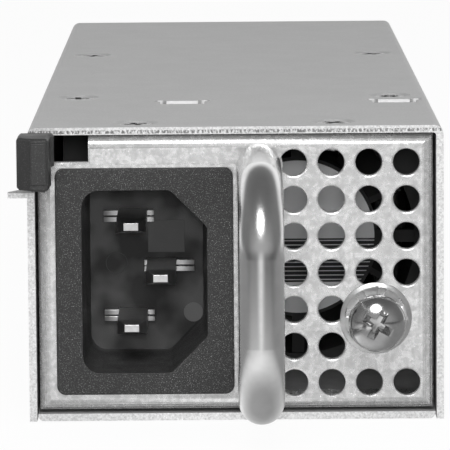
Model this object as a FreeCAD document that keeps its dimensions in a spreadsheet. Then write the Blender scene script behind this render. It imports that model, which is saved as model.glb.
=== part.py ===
"""Hot swap server power supply: a sheet metal case with a mains inlet, a wire handle, a sprung
side latch, an earth screw, a cooling fan and the circuit board behind them.

Frame: millimetres, +Z up, +Y from the front panel to the rear connector, +X to the right seen
from the front. The origin is the middle of the flat bottom face.
"""
import FreeCAD, Part
import math
import os

import Sketcher
from FreeCAD import Placement, Rotation, Vector

# ---------------------------------------------------------------------------------------------
# Driving sizes, in millimetres unless a comment says otherwise. A "depth" is measured from the
# front edge of the cover towards the rear, and a "drop" from the top of the case downwards.
# ---------------------------------------------------------------------------------------------
SIZES = {
    # case
    "case_width": 56.5,
    "case_height": 40.25,
    "case_length": 185.0,
    "cover_sheet": 1.0,
    "cover_bend": 1.3,
    "bend_thinning": 0.15,
    "tray_sheet": 1.0,
    "tray_edge_round": 0.8,
    "tray_wall": 9.0,
    "tray_wall_lead": 1.0,
    "tray_wall_stop": 2.0,
    "tray_setback": 0.3,
    "side_gap": 0.15,
    "panel_sheet": 1.0,
    "panel_bend": 1.8,
    "panel_flange": 11.0,
    "panel_setback": 0.35,
    "panel_gap": 0.35,
    "panel_top_gap": 0.12,
    "corner_relief": 1.1,
    "relief_start": 0.4,
    # clearances that several pieces share
    "fit_gap": 0.1,
    "screw_gap": 0.05,
    "seat_gap": 0.05,
    # countersunk cover screws in pressed dimples: three pairs
    "dimple_radius": 3.1,
    "dimple_depth": 1.8,
    "dimple_wall": 0.9,
    "dimple_flare": 0.5,
    "dimple_room": 0.4,
    "cover_screw_radius": 1.5,
    "cover_screw_length": 4.0,
    "cover_head_sink": 0.15,
    "cover_head_gap": 0.2,
    "front_pair_offset": 13.5,
    "front_pair_depth": 6.1,
    "side_pair_inset": 5.65,
    "middle_pair_lead": 2.9,
    "rear_pair_setback": 68.0,
    "clinch_radius": 4.6,
    "clinch_height": 1.3,
    # lanced tabs in the cover's top
    "lance_width": 6.35,
    "lance_length": 4.6,
    "lance_depth": 32.6,
    "lance_slit": 0.35,
    "lance_drop": 1.3,
    "lance_relief": 0.9,
    "lance_left_offset": 7.45,
    "lance_side_inset": 5.25,
    # latch opening and finger guard in the left wall
    "guard_drop": 8.85,
    "guard_sheet": 0.7,
    "guard_reach": 2.65,
    "guard_nose": 1.5,
    "guard_length": 5.2,
    "guard_root": 0.6,
    "latch_notch_depth": 5.6,
    "latch_notch_drop": 1.05,
    "catch_slot_depth": 9.0,
    "catch_slot_length": 11.5,
    "catch_slot_gap": 0.5,
    # mains inlet
    "inlet_margin": 2.775,
    "inlet_drop": 0.925,
    "inlet_width": 24.15,
    "inlet_height": 31.0,
    "inlet_flange": 0.95,
    "inlet_corner": 1.2,
    "inlet_edge": 0.3,
    "inlet_body_width": 20.4,
    "inlet_body_height": 28.4,
    "inlet_body_depth": 20.5,
    "recess_width": 17.0,
    "recess_height": 25.0,
    "recess_depth": 17.6,
    "recess_chamfer": 5.0,
    "recess_round": 2.4,
    "recess_taper": 2.0,  # degrees
    "blade_width": 4.0,
    "blade_thickness": 2.0,
    "blade_tip": 1.7,
    "blade_inset": 4.2,
    "blade_stub": 0.5,
    "earth_blade_lead": 1.0,
    "blade_spacing": 14.0,
    "blade_step": 4.0,
    "blade_line_offset": 1.9,
    "shoulder_reach": 2.3,
    "shoulder_nub": 0.7,
    "shoulder_shift": 0.25,
    "shoulder_thickness": 0.9,
    "shoulder_inset": 0.2,
    "fold_gap": 0.2,
    "tab_width": 4.8,
    "tab_thickness": 0.8,
    "tab_length": 8.0,
    "rim_width": 0.42,
    "rim_height": 0.5,
    "rim_gap": 0.05,
    # receptacles on the inlet's tabs and their wires to the board
    "receptacle_width": 6.4,
    "receptacle_height": 3.2,
    "receptacle_start": 0.7,
    "receptacle_end": 1.2,
    "wire_radius": 0.8,
    "wire_bend": 2.5,
    "wire_straight": 0.3,
    "wire_spacing": 2.2,
    # latch window in the panel
    "window_width": 7.35,
    "window_drop": 4.7,
    # grille
    "grille_radius": 1.8,
    "grille_handle_gap": 4.7,
    "grille_side": 5.05,
    "grille_pitch": 5.1,
    "grille_margin": 5.035,
    "grille_keep_out": 1.0,
    # handle
    "handle_inlet_gap": 0.055,
    "handle_rise": 0.375,
    "handle_rod": 3.0,
    "handle_inset": 5.825,
    "handle_reach": 33.5,
    "handle_bend": 8.5,
    "handle_screw_radius": 1.45,
    "handle_screw_length": 7.0,
    "handle_bore_spare": 1.0,
    "handle_washer_radius": 3.25,
    "washer_thickness": 0.8,
    "screw_head_radius": 2.8,
    "screw_head_height": 2.0,
    # earth screw
    "earth_side": 9.25,
    "earth_height": 13.9,
    "earth_screw_radius": 1.95,
    "earth_hole_gap": 0.25,
    "earth_head_radius": 3.9,
    "earth_head_height": 2.7,
    "earth_head_crown": 0.95,
    "earth_head_flat": 1.5,
    "earth_head_lean": 0.25,
    "earth_head_round": 0.9,
    "earth_stand_off": 4.9,
    "earth_screw_end": 1.5,
    "earth_nut_radius": 3.6,
    "earth_nut_height": 3.2,
    "lock_washer_radius": 4.9,
    "lock_ring_width": 1.25,
    "lock_ring_sheet": 0.6,
    "lock_tooth_rise": 0.7,
    "lock_tooth_width": 1.2,
    "lock_tooth_root": 0.2,
    "lock_tooth_gap": 0.2,
    # latch
    "latch_pivot_depth": 47.0,
    "leaf_sheet": 0.6,
    "leaf_height": 2.9,
    "leaf_drop": 3.05,
    "leaf_gap": 0.3,
    "leaf_foot": 10.0,
    "leaf_socket": 4.0,
    "leaf_fit": 0.02,
    "rivet_radius": 0.9,
    "rivet_gap": 0.03,
    "rivet_head": 1.8,
    "rivet_head_height": 0.9,
    "catch_rise": 1.9,
    "catch_height": 1.7,
    "catch_drop": 0.5,
    "catch_lead": 0.7,
    "catch_spare": 0.9,
    "catch_front_slope": 1.2,
    "catch_rear_slope": 3.0,
    "cap_proud": 1.05,
    "cap_width": 5.15,
    "cap_drop": 0.55,
    "cap_height": 7.1,
    "cap_front": 9.2,
    "cap_back": 1.2,
    "cap_pad": 0.25,
    "cap_pad_margin": 0.9,
    "cap_slant_width": 1.9,
    "cap_slant_depth": 2.2,
    "cap_side_step": 0.75,
    "cap_window_gap": 0.25,
    "cap_front_edge": 0.35,
    # fan
    "fan_side_gap": 0.05,
    "fan_low_gap": 0.2,
    "fan_top_gap": 2.05,
    "fan_length": 28.0,
    "fan_depth": 46.9,
    "fan_wall": 0.9,
    "fan_corner": 3.0,
    "fan_hole_inset": 2.2,
    "fan_hole_radius": 1.6,
    "fan_flange": 4.0,
    "fan_side_window": 18.0,
    "fan_skin": 0.55,
    "fan_hub": 11.75,
    "fan_plate": 1.6,
    "fan_hub_step": 0.6,
    "strut_width": 1.8,
    "fan_lead_radius": 0.6,
    "fan_lead_bend": 1.2,
    "fan_lead_depth": 13.0,
    "fan_lead_height": 3.4,
    "fan_lead_reach": 2.0,
    "label_margin": 0.5,
    "label_sheet": 0.15,
    "rotor_tip_gap": 1.2,
    "rotor_hub": 10.9,
    "rotor_length": 22.0,
    "rotor_gap": 0.8,
    "rotor_wall": 1.2,
    "shaft_radius": 1.5,
    "bearing_wall": 1.2,
    "bearing_setback": 3.0,
    "blade_root_sink": 0.5,
    "blade_lead": 1.5,
    "blade_sheet": 1.0,
    "blade_root_sweep": 5.5,
    "blade_sweep": 8.5,
    "blade_chord": 17.0,
    "bracket_sheet": 1.0,
    "bracket_ear": 7.5,
    "bracket_ear_width": 7.0,
    "bracket_ear_inset": 3.6,
    "bracket_margin": 2.4,
    "bracket_foot_gap": 0.3,
    "bracket_step": 1.0,
    "fan_screw_head": 2.1,
    "fan_screw_head_height": 1.2,
    "fan_screw_bite": 6.0,
    # board
    "board_top": 6.6,
    "board_sheet": 1.6,
    "board_side_gap": 0.6,
    "board_fan_gap": 5.1,
    "board_inlet_gap": 3.15,
    "board_leg_gap": 0.35,
    "board_end_gap": 8.0,
    "post_radius": 2.6,
    "post_inset": 3.2,
    "post_setback": 3.5,
    "post_step": 1.0,
    "post_rear": 9.0,
    "board_screw_start": 0.5,
    "tongue_half_width": 20.0,
    "tongue_reach": 9.0,
    "tongue_chamfer": 1.0,
    "contact_width": 1.6,
    "contact_pitch": 2.5,
    "contact_length": 7.0,
    "contact_sheet": 0.1,
    "contact_inset": 1.2,
    "contact_margin": 2.0,
    "insulator_thickness": 0.4,
    "insulator_margin": 0.5,
    "insulator_post_gap": 0.4,
    # heat sinks and the devices clamped to them
    "sink_sheet": 3.0,
    "sink_edge": 0.6,
    "sink_flange": 8.0,
    "sink_front_gap": 8.0,
    "sink_rear_gap": 27.0,
    "fin_pitch": 4.0,
    "fin_slot": 1.6,
    "fin_root": 3.2,
    "fin_screw_room": 4.0,
    "bridge_thickness": 3.6,
    "bridge_length": 18.0,
    "bridge_height": 17.0,
    "bridge_lift": 3.0,
    "device_thickness": 4.4,
    "device_length": 10.2,
    "device_height": 15.0,
    "device_lift": 4.0,
    # parts on the board; "lift" is how far one stands off it
    "part_lift": 0.1,
    "fuse_radius": 2.9,
    "fuse_length": 8.5,
    "disc_radius": 4.0,
    "disc_thickness": 2.6,
    "filter_radius": 8.0,
    "filter_bore": 3.4,
    "filter_width": 6.6,
    "film_width": 11.0,
    "film_length": 7.0,
    "film_height": 12.5,
    "boost_offset": 5.4,
    "boost_radius": 9.0,
    "boost_bore": 3.6,
    "boost_height": 14.0,
    "bulk_offset": 8.0,
    "bulk_radius": 9.0,
    "bulk_height": 28.0,
    "bulk_round": 0.8,
    "core_width": 24.0,
    "core_length": 20.0,
    "core_height": 24.0,
    "core_yoke": 5.0,
    "core_side": 3.5,
    "core_centre": 5.6,
    "winding_reach": 2.5,
    "winding_gap": 0.2,
    "output_choke_offset": 5.0,
    "output_choke_radius": 6.5,
    "output_choke_bore": 2.8,
    "output_choke_height": 10.0,
    "control_offset": 11.0,
    "control_sheet": 1.6,
    "control_length": 13.0,
    "control_height": 22.0,
    "output_can_radius": 4.0,
    "output_can_height": 16.0,
    "output_can_pitch": 9.4,
    # rear panel
    "vent_radius": 1.9,
    "vent_pitch": 4.9,
    "vent_rise": 7.9,
    "vent_margin": 2.0,
    "slot_gap": 1.0,
    "slot_room": 1.6,
}

# How far a cutting shape runs past the face that it opens, and a joined shape into its
# neighbour. It has no effect on the finished part.
PAST = 0.1
GRILLE_ROWS = 7
WASHER_TEETH = 8
FAN_BLADES = 7
OUTPUT_CANS = 4


class Size:
    """A length that carries its value and its spreadsheet formula, so that sums stay bound."""

    def __init__(self, value, formula):
        self.value = float(value)
        self.formula = formula

    def __add__(self, other):
        return Size(self.value + number(other), f"({self.formula} + {formula(other)})")

    def __radd__(self, other):
        return Size(number(other) + self.value, f"({formula(other)} + {self.formula})")

    def __sub__(self, other):
        return Size(self.value - number(other), f"({self.formula} - {formula(other)})")

    def __rsub__(self, other):
        return Size(number(other) - self.value, f"({formula(other)} - {self.formula})")

    def __mul__(self, other):
        return Size(self.value * number(other), f"({self.formula} * {formula(other)})")

    def __rmul__(self, other):
        return Size(number(other) * self.value, f"({formula(other)} * {self.formula})")

    def __truediv__(self, other):
        return Size(self.value / number(other), f"({self.formula} / {formula(other)})")

    def __neg__(self):
        return Size(-self.value, f"(0 - {self.formula})")


def number(length):
    """The plain value of a length."""
    return length.value if isinstance(length, Size) else float(length)


def formula(length):
    """The spreadsheet formula of a length."""
    return length.formula if isinstance(length, Size) else f"{float(length):.6f}"


class Sizes:
    """The spreadsheet's cells, each one an attribute with its alias's name."""

    def __init__(self, document, table):
        sheet = document.addObject("Spreadsheet::Sheet", "Sizes")
        for row, (alias, value) in enumerate(table.items(), start=1):
            sheet.set(f"A{row}", alias)
            sheet.set(f"B{row}", str(value))
            sheet.setAlias(f"B{row}", alias)
            setattr(self, alias, Size(value, f"Sizes.{alias}"))

doc = FreeCAD.newDocument("server_power_supply")
s = Sizes(doc, SIZES)
doc.recompute()

nodes = []

# ---------------------------------------------------------------------------------------------
# Places that several pieces share
# ---------------------------------------------------------------------------------------------
front = -s.case_length / 2
rear = s.case_length / 2
half_width = s.case_width / 2
inner_side = half_width - s.cover_sheet
inner_top = s.case_height - s.cover_sheet
middle_z = s.case_height / 2
panel_face = front + s.panel_setback
panel_back = panel_face + s.panel_sheet
panel_side = inner_side - s.panel_gap
panel_top = inner_top - s.panel_top_gap
panel_bottom = s.tray_sheet + s.panel_gap
rear_flange = rear - s.panel_setback - s.panel_flange
seat_top = s.case_height - s.dimple_depth - s.fit_gap
guard_top = s.case_height - s.guard_drop
window_low = s.case_height - s.window_drop

# Mains inlet: its left edge is set by the case's left wall.
inlet_left = -inner_side + s.inlet_margin
inlet_right = inlet_left + s.inlet_width
inlet_x = inlet_left + s.inlet_width / 2
inlet_z = middle_z - s.inlet_drop
inlet_front = panel_face - s.inlet_flange
inlet_floor = inlet_front + s.recess_depth
inlet_back = panel_face + s.inlet_body_depth

# Handle beside the inlet, grille beside the handle, earth screw from the right side.
handle_x = inlet_right + s.rim_gap + s.rim_width + s.handle_inlet_gap + s.handle_rod
handle_z = middle_z + s.handle_rise
handle_half_span = middle_z - s.handle_inset
handle_ends_z = (handle_z - handle_half_span, handle_z + handle_half_span)
grille_x = handle_x + s.grille_handle_gap
grille_rise = (s.case_height - s.grille_margin * 2) / (GRILLE_ROWS - 1)
earth_x = half_width - s.earth_side
earth_centre = (earth_x, s.earth_height)

# Latch along the left wall.
leaf_middle = s.case_height - s.leaf_drop
leaf_low = leaf_middle - s.leaf_height / 2
leaf_high = leaf_middle + s.leaf_height / 2
catch_middle = leaf_middle - s.catch_drop
leaf_left = -inner_side + s.leaf_gap
leaf_right = leaf_left + s.leaf_sheet
pivot_y = front + s.latch_pivot_depth

# Fan in the right rear corner of the front bay, as tall as the case leaves room for.
fan_size = inner_top - s.tray_sheet - s.fan_low_gap - s.fan_top_gap
fan_right = inner_side - s.fan_side_gap
fan_left = fan_right - fan_size
fan_axis = (fan_right - fan_size / 2, s.tray_sheet + s.fan_low_gap + fan_size / 2)
fan_front = front + s.fan_depth
fan_back = fan_front + s.fan_length
fan_duct = fan_size / 2 - s.fan_wall
fan_hole_offset = fan_size / 2 - s.fan_hole_inset

# Board behind the fan, with a leg that runs forward on the fan's left.
board_low = s.board_top - s.board_sheet
board_side = inner_side - s.side_gap - s.tray_sheet - s.board_side_gap
board_leg_right = fan_left - s.board_leg_gap
board_leg_front = inlet_back + s.tab_length + s.board_inlet_gap
board_front = fan_back + s.board_fan_gap
board_rear = rear - s.board_end_gap
post_side = board_side - s.post_inset
post_places = [
    (-post_side, board_leg_front + s.post_setback),
    (-post_side, board_front + s.post_step),
    (post_side, board_front + s.post_setback),
    (-post_side, board_rear - s.post_rear),
    (post_side, board_rear - s.post_rear),
]
sink_front = board_front + s.sink_front_gap
sink_rear = board_rear - s.sink_rear_gap
sink_outer = board_side - s.sink_edge
sink_face = sink_outer - s.sink_sheet

# Cover screws: offset from the middle and place along the case for each pair.
side_pair_offset = half_width - s.side_pair_inset
SCREW_PAIRS = (
    (s.front_pair_offset, front + s.front_pair_depth),
    (side_pair_offset, fan_front - s.middle_pair_lead - s.label_sheet - s.seat_gap),
    (side_pair_offset, rear - s.rear_pair_setback),
)
screw_places = [(side * offset, y) for offset, y in SCREW_PAIRS for side in (-1, 1)]


# ---------------------------------------------------------------------------------------------
# Modelling helpers
# ---------------------------------------------------------------------------------------------
def bind(target, path, length):
    """Bind one property of an object to a length."""
    if isinstance(length, Size):
        target.setExpression(path, length.formula)
    else:
        target.setExpression(path, formula(length))


def node(label, thing):
    """Name a finished sub-part and list it for export."""
    thing.Label = label
    nodes.append(thing)
    return thing


def new_body(label):
    """An empty PartDesign body that is a node of its own."""
    return node(label, doc.addObject("PartDesign::Body", label))


def pin_point(sketch, geometry, point, place):
    """Fix one sketch point at its two coordinates."""
    for kind, axis, length in (("DistanceX", -2, place[0]), ("DistanceY", -1, place[1])):
        if isinstance(length, Size) or abs(length) > 1e-9:
            constraint = sketch.addConstraint(
                Sketcher.Constraint(kind, -1, 1, geometry, point, number(length)))
            bind(sketch, f"Constraints[{constraint}]", length)
        else:
            sketch.addConstraint(Sketcher.Constraint("PointOnObject", geometry, point, axis))


def draw_polygon(sketch, corners):
    """A closed outline of straight lines with every corner fixed."""
    first = sketch.GeometryCount
    places = [Vector(number(x), number(y), 0) for x, y in corners]
    count = len(corners)
    for index in range(count):
        sketch.addGeometry(Part.LineSegment(places[index], places[(index + 1) % count]))
    for index in range(count):
        sketch.addConstraint(Sketcher.Constraint(
            "Coincident", first + index, 2, first + (index + 1) % count, 1))
    for index, corner in enumerate(corners):
        pin_point(sketch, first + index, 1, corner)


def draw_circle(sketch, x, y, radius):
    """A circle with its centre and radius fixed."""
    place = Vector(number(x), number(y), 0)
    circle = sketch.addGeometry(Part.Circle(place, Vector(0, 0, 1), number(radius)))
    pin_point(sketch, circle, 3, (x, y))
    constraint = sketch.addConstraint(Sketcher.Constraint("Radius", circle, number(radius)))
    bind(sketch, f"Constraints[{constraint}]", radius)


def rectangle(x0, y0, x1, y1):
    """The corners of an upright rectangle."""
    return [(x0, y0), (x1, y0), (x1, y1), (x0, y1)]


def new_sketch(body, plane, level=0.0):
    """A sketch on one of the body's own origin planes, moved along the row axis by level."""
    name = f"{body.Name}_sketch_{len(body.Group)}"
    sketch = body.newObject("Sketcher::SketchObject", name)
    origin_plane = [f for f in body.Origin.OriginFeatures if f.Role == plane + "_Plane"][0]
    sketch.AttachmentSupport = (origin_plane, [""])
    sketch.MapMode = "FlatFace"
    offset = -level if plane == "XZ" else level
    bind(sketch, "AttachmentOffset.Base.z", offset)
    return sketch


def ring_pattern(body, feature, centre, count, name):
    """Repeat one feature in a full ring about an axis that runs along Y through the centre."""
    axis = new_sketch(body, "XZ")
    bind(axis, "AttachmentOffset.Base.x", centre[0])
    bind(axis, "AttachmentOffset.Base.y", centre[1])
    doc.recompute()
    pattern = body.newObject("PartDesign::PolarPattern", name)
    pattern.Originals = [feature]
    pattern.Axis = (axis, ["N_Axis"])
    pattern.Angle = 360
    pattern.Occurrences = count
    body.Tip = pattern
    doc.recompute()
    return pattern


def profile(body, plane, level, polygons=(), circles=()):
    """A sketch that holds closed polygons and circles."""
    sketch = new_sketch(body, plane, level)
    for corners in polygons:
        draw_polygon(sketch, corners)
    for x, y, radius in circles:
        draw_circle(sketch, x, y, radius)
    return sketch


def extrude(kind, body, plane, start, end, polygons=(), circles=()):
    """Pad or pocket the outlines between two levels along the axis normal to the plane."""
    sketch = profile(body, plane, start, polygons, circles)
    feature = body.newObject("PartDesign::" + kind, f"{body.Name}_{kind}_{len(body.Group)}")
    feature.Profile = sketch
    bind(feature, "Length", end - start)
    along_normal = plane != "XZ"
    feature.Reversed = (not along_normal) if kind == "Pad" else along_normal
    doc.recompute()
    return feature


def pad(body, plane, start, end, polygons=(), circles=()):
    return extrude("Pad", body, plane, start, end, polygons, circles)


def pocket(body, plane, start, end, polygons=(), circles=()):
    before = body.Shape.Volume
    feature = extrude("Pocket", body, plane, start, end, polygons, circles)
    if body.Shape.Volume > before - 1e-6:
        raise RuntimeError(f"{body.Label}: a pocket cut nothing")
    return feature


def edge_names(shape, chosen):
    """The names of the edges that the test picks."""
    return [f"Edge{i}" for i, edge in enumerate(shape.Edges, start=1) if chosen(edge)]


def dress(kind, body, length, chosen):
    """Fillet or chamfer the picked edges of the body's tip."""
    tip = body.Tip
    names = edge_names(tip.Shape, chosen)
    if not names:
        raise RuntimeError(f"{body.Label}: no edge to dress")
    feature = body.newObject("PartDesign::" + kind, f"{body.Name}_{kind}_{len(body.Group)}")
    feature.Base = (tip, names)
    bind(feature, "Radius" if kind == "Fillet" else "Size", length)
    doc.recompute()
    return feature


def runs_along(edge, axis):
    """True for a straight edge that runs along the named axis."""
    if edge.Curve.TypeId != "Part::GeomLine":
        return False
    direction = edge.tangentAt(edge.FirstParameter)
    return abs(abs(getattr(direction, axis)) - 1) < 1e-6


def near(value, length, tolerance=0.02):
    return abs(value - number(length)) < tolerance


def box(label, x0, x1, y0, y1, z0, z1):
    """A Part box between two corners."""
    solid = doc.addObject("Part::Box", label)
    bind(solid, "Length", x1 - x0)
    bind(solid, "Width", y1 - y0)
    bind(solid, "Height", z1 - z0)
    for axis, low in (("x", x0), ("y", y0), ("z", z0)):
        bind(solid, f"Placement.Base.{axis}", low)
    return solid


TURNS = {
    "x": Rotation(Vector(0, 1, 0), 90),
    "y": Rotation(Vector(1, 0, 0), -90),
    "z": Rotation(),
}


def place_round(solid, axis, centre, start):
    """Lay a round primitive along an axis with its base centre at the given place."""
    solid.Placement = Placement(Vector(), TURNS[axis])
    across = [name for name in "xyz" if name != axis]
    for name, length in zip(across, centre):
        bind(solid, f"Placement.Base.{name}", length)
    bind(solid, f"Placement.Base.{axis}", start)


def cylinder(label, axis, centre, radius, start, end):
    """A Part cylinder along an axis; centre holds the two other coordinates in order."""
    solid = doc.addObject("Part::Cylinder", label)
    bind(solid, "Radius", radius)
    bind(solid, "Height", end - start)
    place_round(solid, axis, centre, start)
    return solid


def cone(label, axis, centre, radius_start, radius_end, start, end):
    """A Part cone along an axis."""
    solid = doc.addObject("Part::Cone", label)
    bind(solid, "Radius1", radius_start)
    bind(solid, "Radius2", radius_end)
    bind(solid, "Height", end - start)
    place_round(solid, axis, centre, start)
    return solid


def fuse(label, solids):
    """A Part fusion of primitives."""
    joined = doc.addObject("Part::MultiFuse", label)
    joined.Shapes = solids
    return joined


def subtract(label, base, tools):
    """A Part cut of one base by one or more tools."""
    cut = doc.addObject("Part::Cut", label)
    cut.Base = base
    cut.Tool = tools[0] if len(tools) == 1 else fuse(label + "_tools", tools)
    return cut


def group(label, solids):
    """Separate solids that share one node."""
    together = doc.addObject("Part::Compound", label)
    together.Links = solids
    return together

# ---------------------------------------------------------------------------------------------
# Case
# ---------------------------------------------------------------------------------------------
def add_primitive(body, kind, name, centre, start, height, radii):
    """An additive or subtractive round primitive that stands along Z inside a body."""
    feature = body.newObject("PartDesign::" + kind, name)
    if len(radii) == 1:
        bind(feature, "Radius", radii[0])
    else:
        bind(feature, "Radius1", radii[0])
        bind(feature, "Radius2", radii[1])
    bind(feature, "Height", height)
    bind(feature, "Placement.Base.x", centre[0])
    bind(feature, "Placement.Base.y", centre[1])
    bind(feature, "Placement.Base.z", start)
    doc.recompute()
    return feature


def press_dimples(cover):
    """A cone of sheet below the top at each screw, then the countersink and its hole."""
    low = s.case_height - s.dimple_depth
    sink = s.dimple_radius - s.cover_screw_radius
    for index, place in enumerate(screw_places):
        add_primitive(cover, "AdditiveCone", f"dimple_{index}", place,
                      low, s.dimple_depth - s.cover_sheet / 2,
                      (s.cover_screw_radius + s.dimple_wall,
                       s.dimple_radius + s.dimple_wall - s.dimple_flare))
        add_primitive(cover, "SubtractiveCone", f"countersink_{index}", place,
                      s.case_height - sink, sink, (s.cover_screw_radius, s.dimple_radius))
        add_primitive(cover, "SubtractiveCylinder", f"screw_hole_{index}", place,
                      low - PAST, s.dimple_depth, (s.cover_screw_radius + s.screw_gap,))


def lance_tabs(cover):
    """Two openings with round reliefs at their rear corners, each with its tab bent down."""
    lance_front = front + s.lance_depth
    lance_rear = lance_front + s.lance_length
    for centre in (-s.lance_left_offset, half_width - s.lance_side_inset):
        left = centre - s.lance_width / 2
        right = centre + s.lance_width / 2
        pocket(cover, "XY", inner_top - PAST, s.case_height + PAST,
               [rectangle(left, lance_front, right, lance_rear)])
        pocket(cover, "XY", inner_top - PAST, s.case_height + PAST, circles=[
            (left, lance_rear, s.lance_relief), (right, lance_rear, s.lance_relief)])
        tip = lance_rear - s.lance_slit
        pad(cover, "YZ", left + s.lance_slit, right - s.lance_slit, [[
            (lance_front - PAST, inner_top + PAST), (lance_front - PAST, s.case_height),
            (tip, s.case_height - s.lance_drop), (tip, inner_top + PAST - s.lance_drop)]])


def make_top_cover():
    """Top and side walls: one sheet bent twice, with dimples, lances and the latch notch."""
    cover = new_body("top_cover")
    pad(cover, "XZ", front, rear, [[
        (-half_width, 0), (-half_width, s.case_height), (half_width, s.case_height),
        (half_width, 0), (inner_side, 0), (inner_side, inner_top),
        (-inner_side, inner_top), (-inner_side, 0)]])
    dress("Fillet", cover, s.cover_bend, lambda e: runs_along(e, "y")
          and near(e.CenterOfMass.z, s.case_height))
    dress("Fillet", cover, s.cover_bend - s.cover_sheet + s.bend_thinning,
          lambda e: runs_along(e, "y") and near(e.CenterOfMass.z, inner_top))
    press_dimples(cover)
    lance_tabs(cover)
    # The left wall's front corner is cut away for the latch; its lower edge is a finger guard
    # bent out, with a nose that slants back to the wall.
    outside = -half_width - s.guard_reach
    pocket(cover, "YZ", outside, -inner_side + PAST, [rectangle(
        front - 1, guard_top, front + s.latch_notch_depth, s.case_height - s.latch_notch_drop)])
    pad(cover, "XY", guard_top - s.guard_sheet, guard_top, [[
        (-inner_side, front), (outside, front), (outside, front + s.guard_nose),
        (-half_width - s.guard_root, front + s.guard_length),
        (-inner_side, front + s.guard_length)]])
    catch_front = front + s.catch_slot_depth
    slot_half = s.catch_height / 2 + s.catch_slot_gap
    pocket(cover, "YZ", outside, -inner_side + PAST, [rectangle(
        catch_front, catch_middle - slot_half,
        catch_front + s.catch_slot_length, catch_middle + slot_half)])
    return cover


def make_bottom_tray():
    """Base sheet that lies between the cover's walls, with short side walls behind the fan."""
    tray = new_body("bottom_tray")
    side = inner_side - s.side_gap
    pad(tray, "XZ", front + s.tray_setback, rear - s.tray_setback,
        [rectangle(-side, 0, side, s.tray_sheet)])
    dress("Fillet", tray, s.tray_edge_round, lambda e: runs_along(e, "y")
          and near(e.CenterOfMass.z, 0))
    for low, high in ((-side, s.tray_sheet - side), (side - s.tray_sheet, side)):
        pad(tray, "XZ", board_front - s.tray_wall_lead, rear_flange - s.tray_wall_stop,
            [rectangle(low, s.tray_edge_round, high, s.tray_wall)])
    # Screw holes under the board's posts.
    pocket(tray, "XY", -PAST, s.tray_sheet + PAST,
           circles=[(x, y, s.cover_screw_radius) for x, y in post_places])
    return tray


def grille_holes():
    """Centres of the grille's holes, less those that the earth screw's washer needs flat."""
    span = number(half_width - s.grille_side - grille_x)
    columns = int(span / number(s.grille_pitch) + 0.001) + 1
    keep_out = number(s.lock_washer_radius + s.grille_keep_out)
    places = []
    for column in range(columns):
        for row in range(GRILLE_ROWS):
            x = grille_x + column * s.grille_pitch
            z = s.grille_margin + row * grille_rise
            if math.hypot(number(x - earth_x), number(z - s.earth_height)) > keep_out:
                places.append((x, z, s.grille_radius))
    return places


def make_front_panel():
    """Front sheet with its four edges bent back, the inlet cut-out, latch window and grille."""
    panel = new_body("front_panel")
    flange_end = panel_face + s.panel_flange
    pad(panel, "XZ", panel_face, flange_end,
        [rectangle(-panel_side, panel_bottom, panel_side, panel_top)])
    dress("Fillet", panel, s.panel_bend, lambda e: near(e.CenterOfMass.y, panel_face)
          and e.Length > number(s.panel_flange))
    wall = s.panel_sheet
    pocket(panel, "XZ", panel_back, flange_end + PAST, [rectangle(
        -panel_side + wall, panel_bottom + wall, panel_side - wall, panel_top - wall)])
    # Corner reliefs between neighbouring flanges.
    relief = s.corner_relief
    reliefs = []
    for low_x, high_x in ((-panel_side, relief - panel_side), (panel_side - relief, panel_side)):
        reliefs.append(rectangle(low_x, panel_bottom, high_x, panel_bottom + relief))
        reliefs.append(rectangle(low_x, panel_top - relief, high_x, panel_top))
    pocket(panel, "XZ", panel_back + s.relief_start, flange_end + PAST, reliefs)
    # Inlet cut-out.
    cut_x = s.inlet_body_width / 2 + s.fit_gap
    cut_z = s.inlet_body_height / 2 + s.fit_gap
    pocket(panel, "XZ", panel_face - PAST, panel_back + PAST, [rectangle(
        inlet_x - cut_x, inlet_z - cut_z, inlet_x + cut_x, inlet_z + cut_z)])
    # Window for the latch, open to the panel's top and left edges.
    pocket(panel, "XZ", panel_face - PAST, flange_end + PAST, [rectangle(
        -panel_side - PAST, window_low, s.window_width - inner_side, panel_top + PAST)])
    pocket(panel, "YZ", -panel_side - PAST, -panel_side + wall + PAST, [rectangle(
        panel_face - PAST, guard_top, flange_end + PAST, window_low + PAST)])
    # Grille and round holes for the handle's screws and the earth screw.
    handle_holes = [(handle_x, z, s.handle_screw_radius + s.fit_gap) for z in handle_ends_z]
    earth_hole = (earth_x, s.earth_height, s.earth_screw_radius + s.earth_hole_gap)
    pocket(panel, "XZ", panel_face - PAST, panel_back + PAST,
           circles=grille_holes() + handle_holes + [earth_hole])
    # Clearance for the cover's front dimples in the top flange.
    pocket(panel, "XY", panel_top - wall - PAST, panel_top + PAST, circles=[
        (x, y, s.dimple_radius + s.dimple_room) for x, y in screw_places[:2]])
    # Raised rim above and right of the inlet.
    right = inlet_right + s.rim_gap
    low = inlet_z - s.inlet_height / 2
    high = inlet_z + s.inlet_height / 2 + s.rim_gap
    pad(panel, "XZ", panel_face - s.rim_height, panel_face + PAST, [[
        (inlet_left, high), (right, high), (right, low), (right + s.rim_width, low),
        (right + s.rim_width, high + s.rim_width), (inlet_left, high + s.rim_width)]])
    return panel


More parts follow.
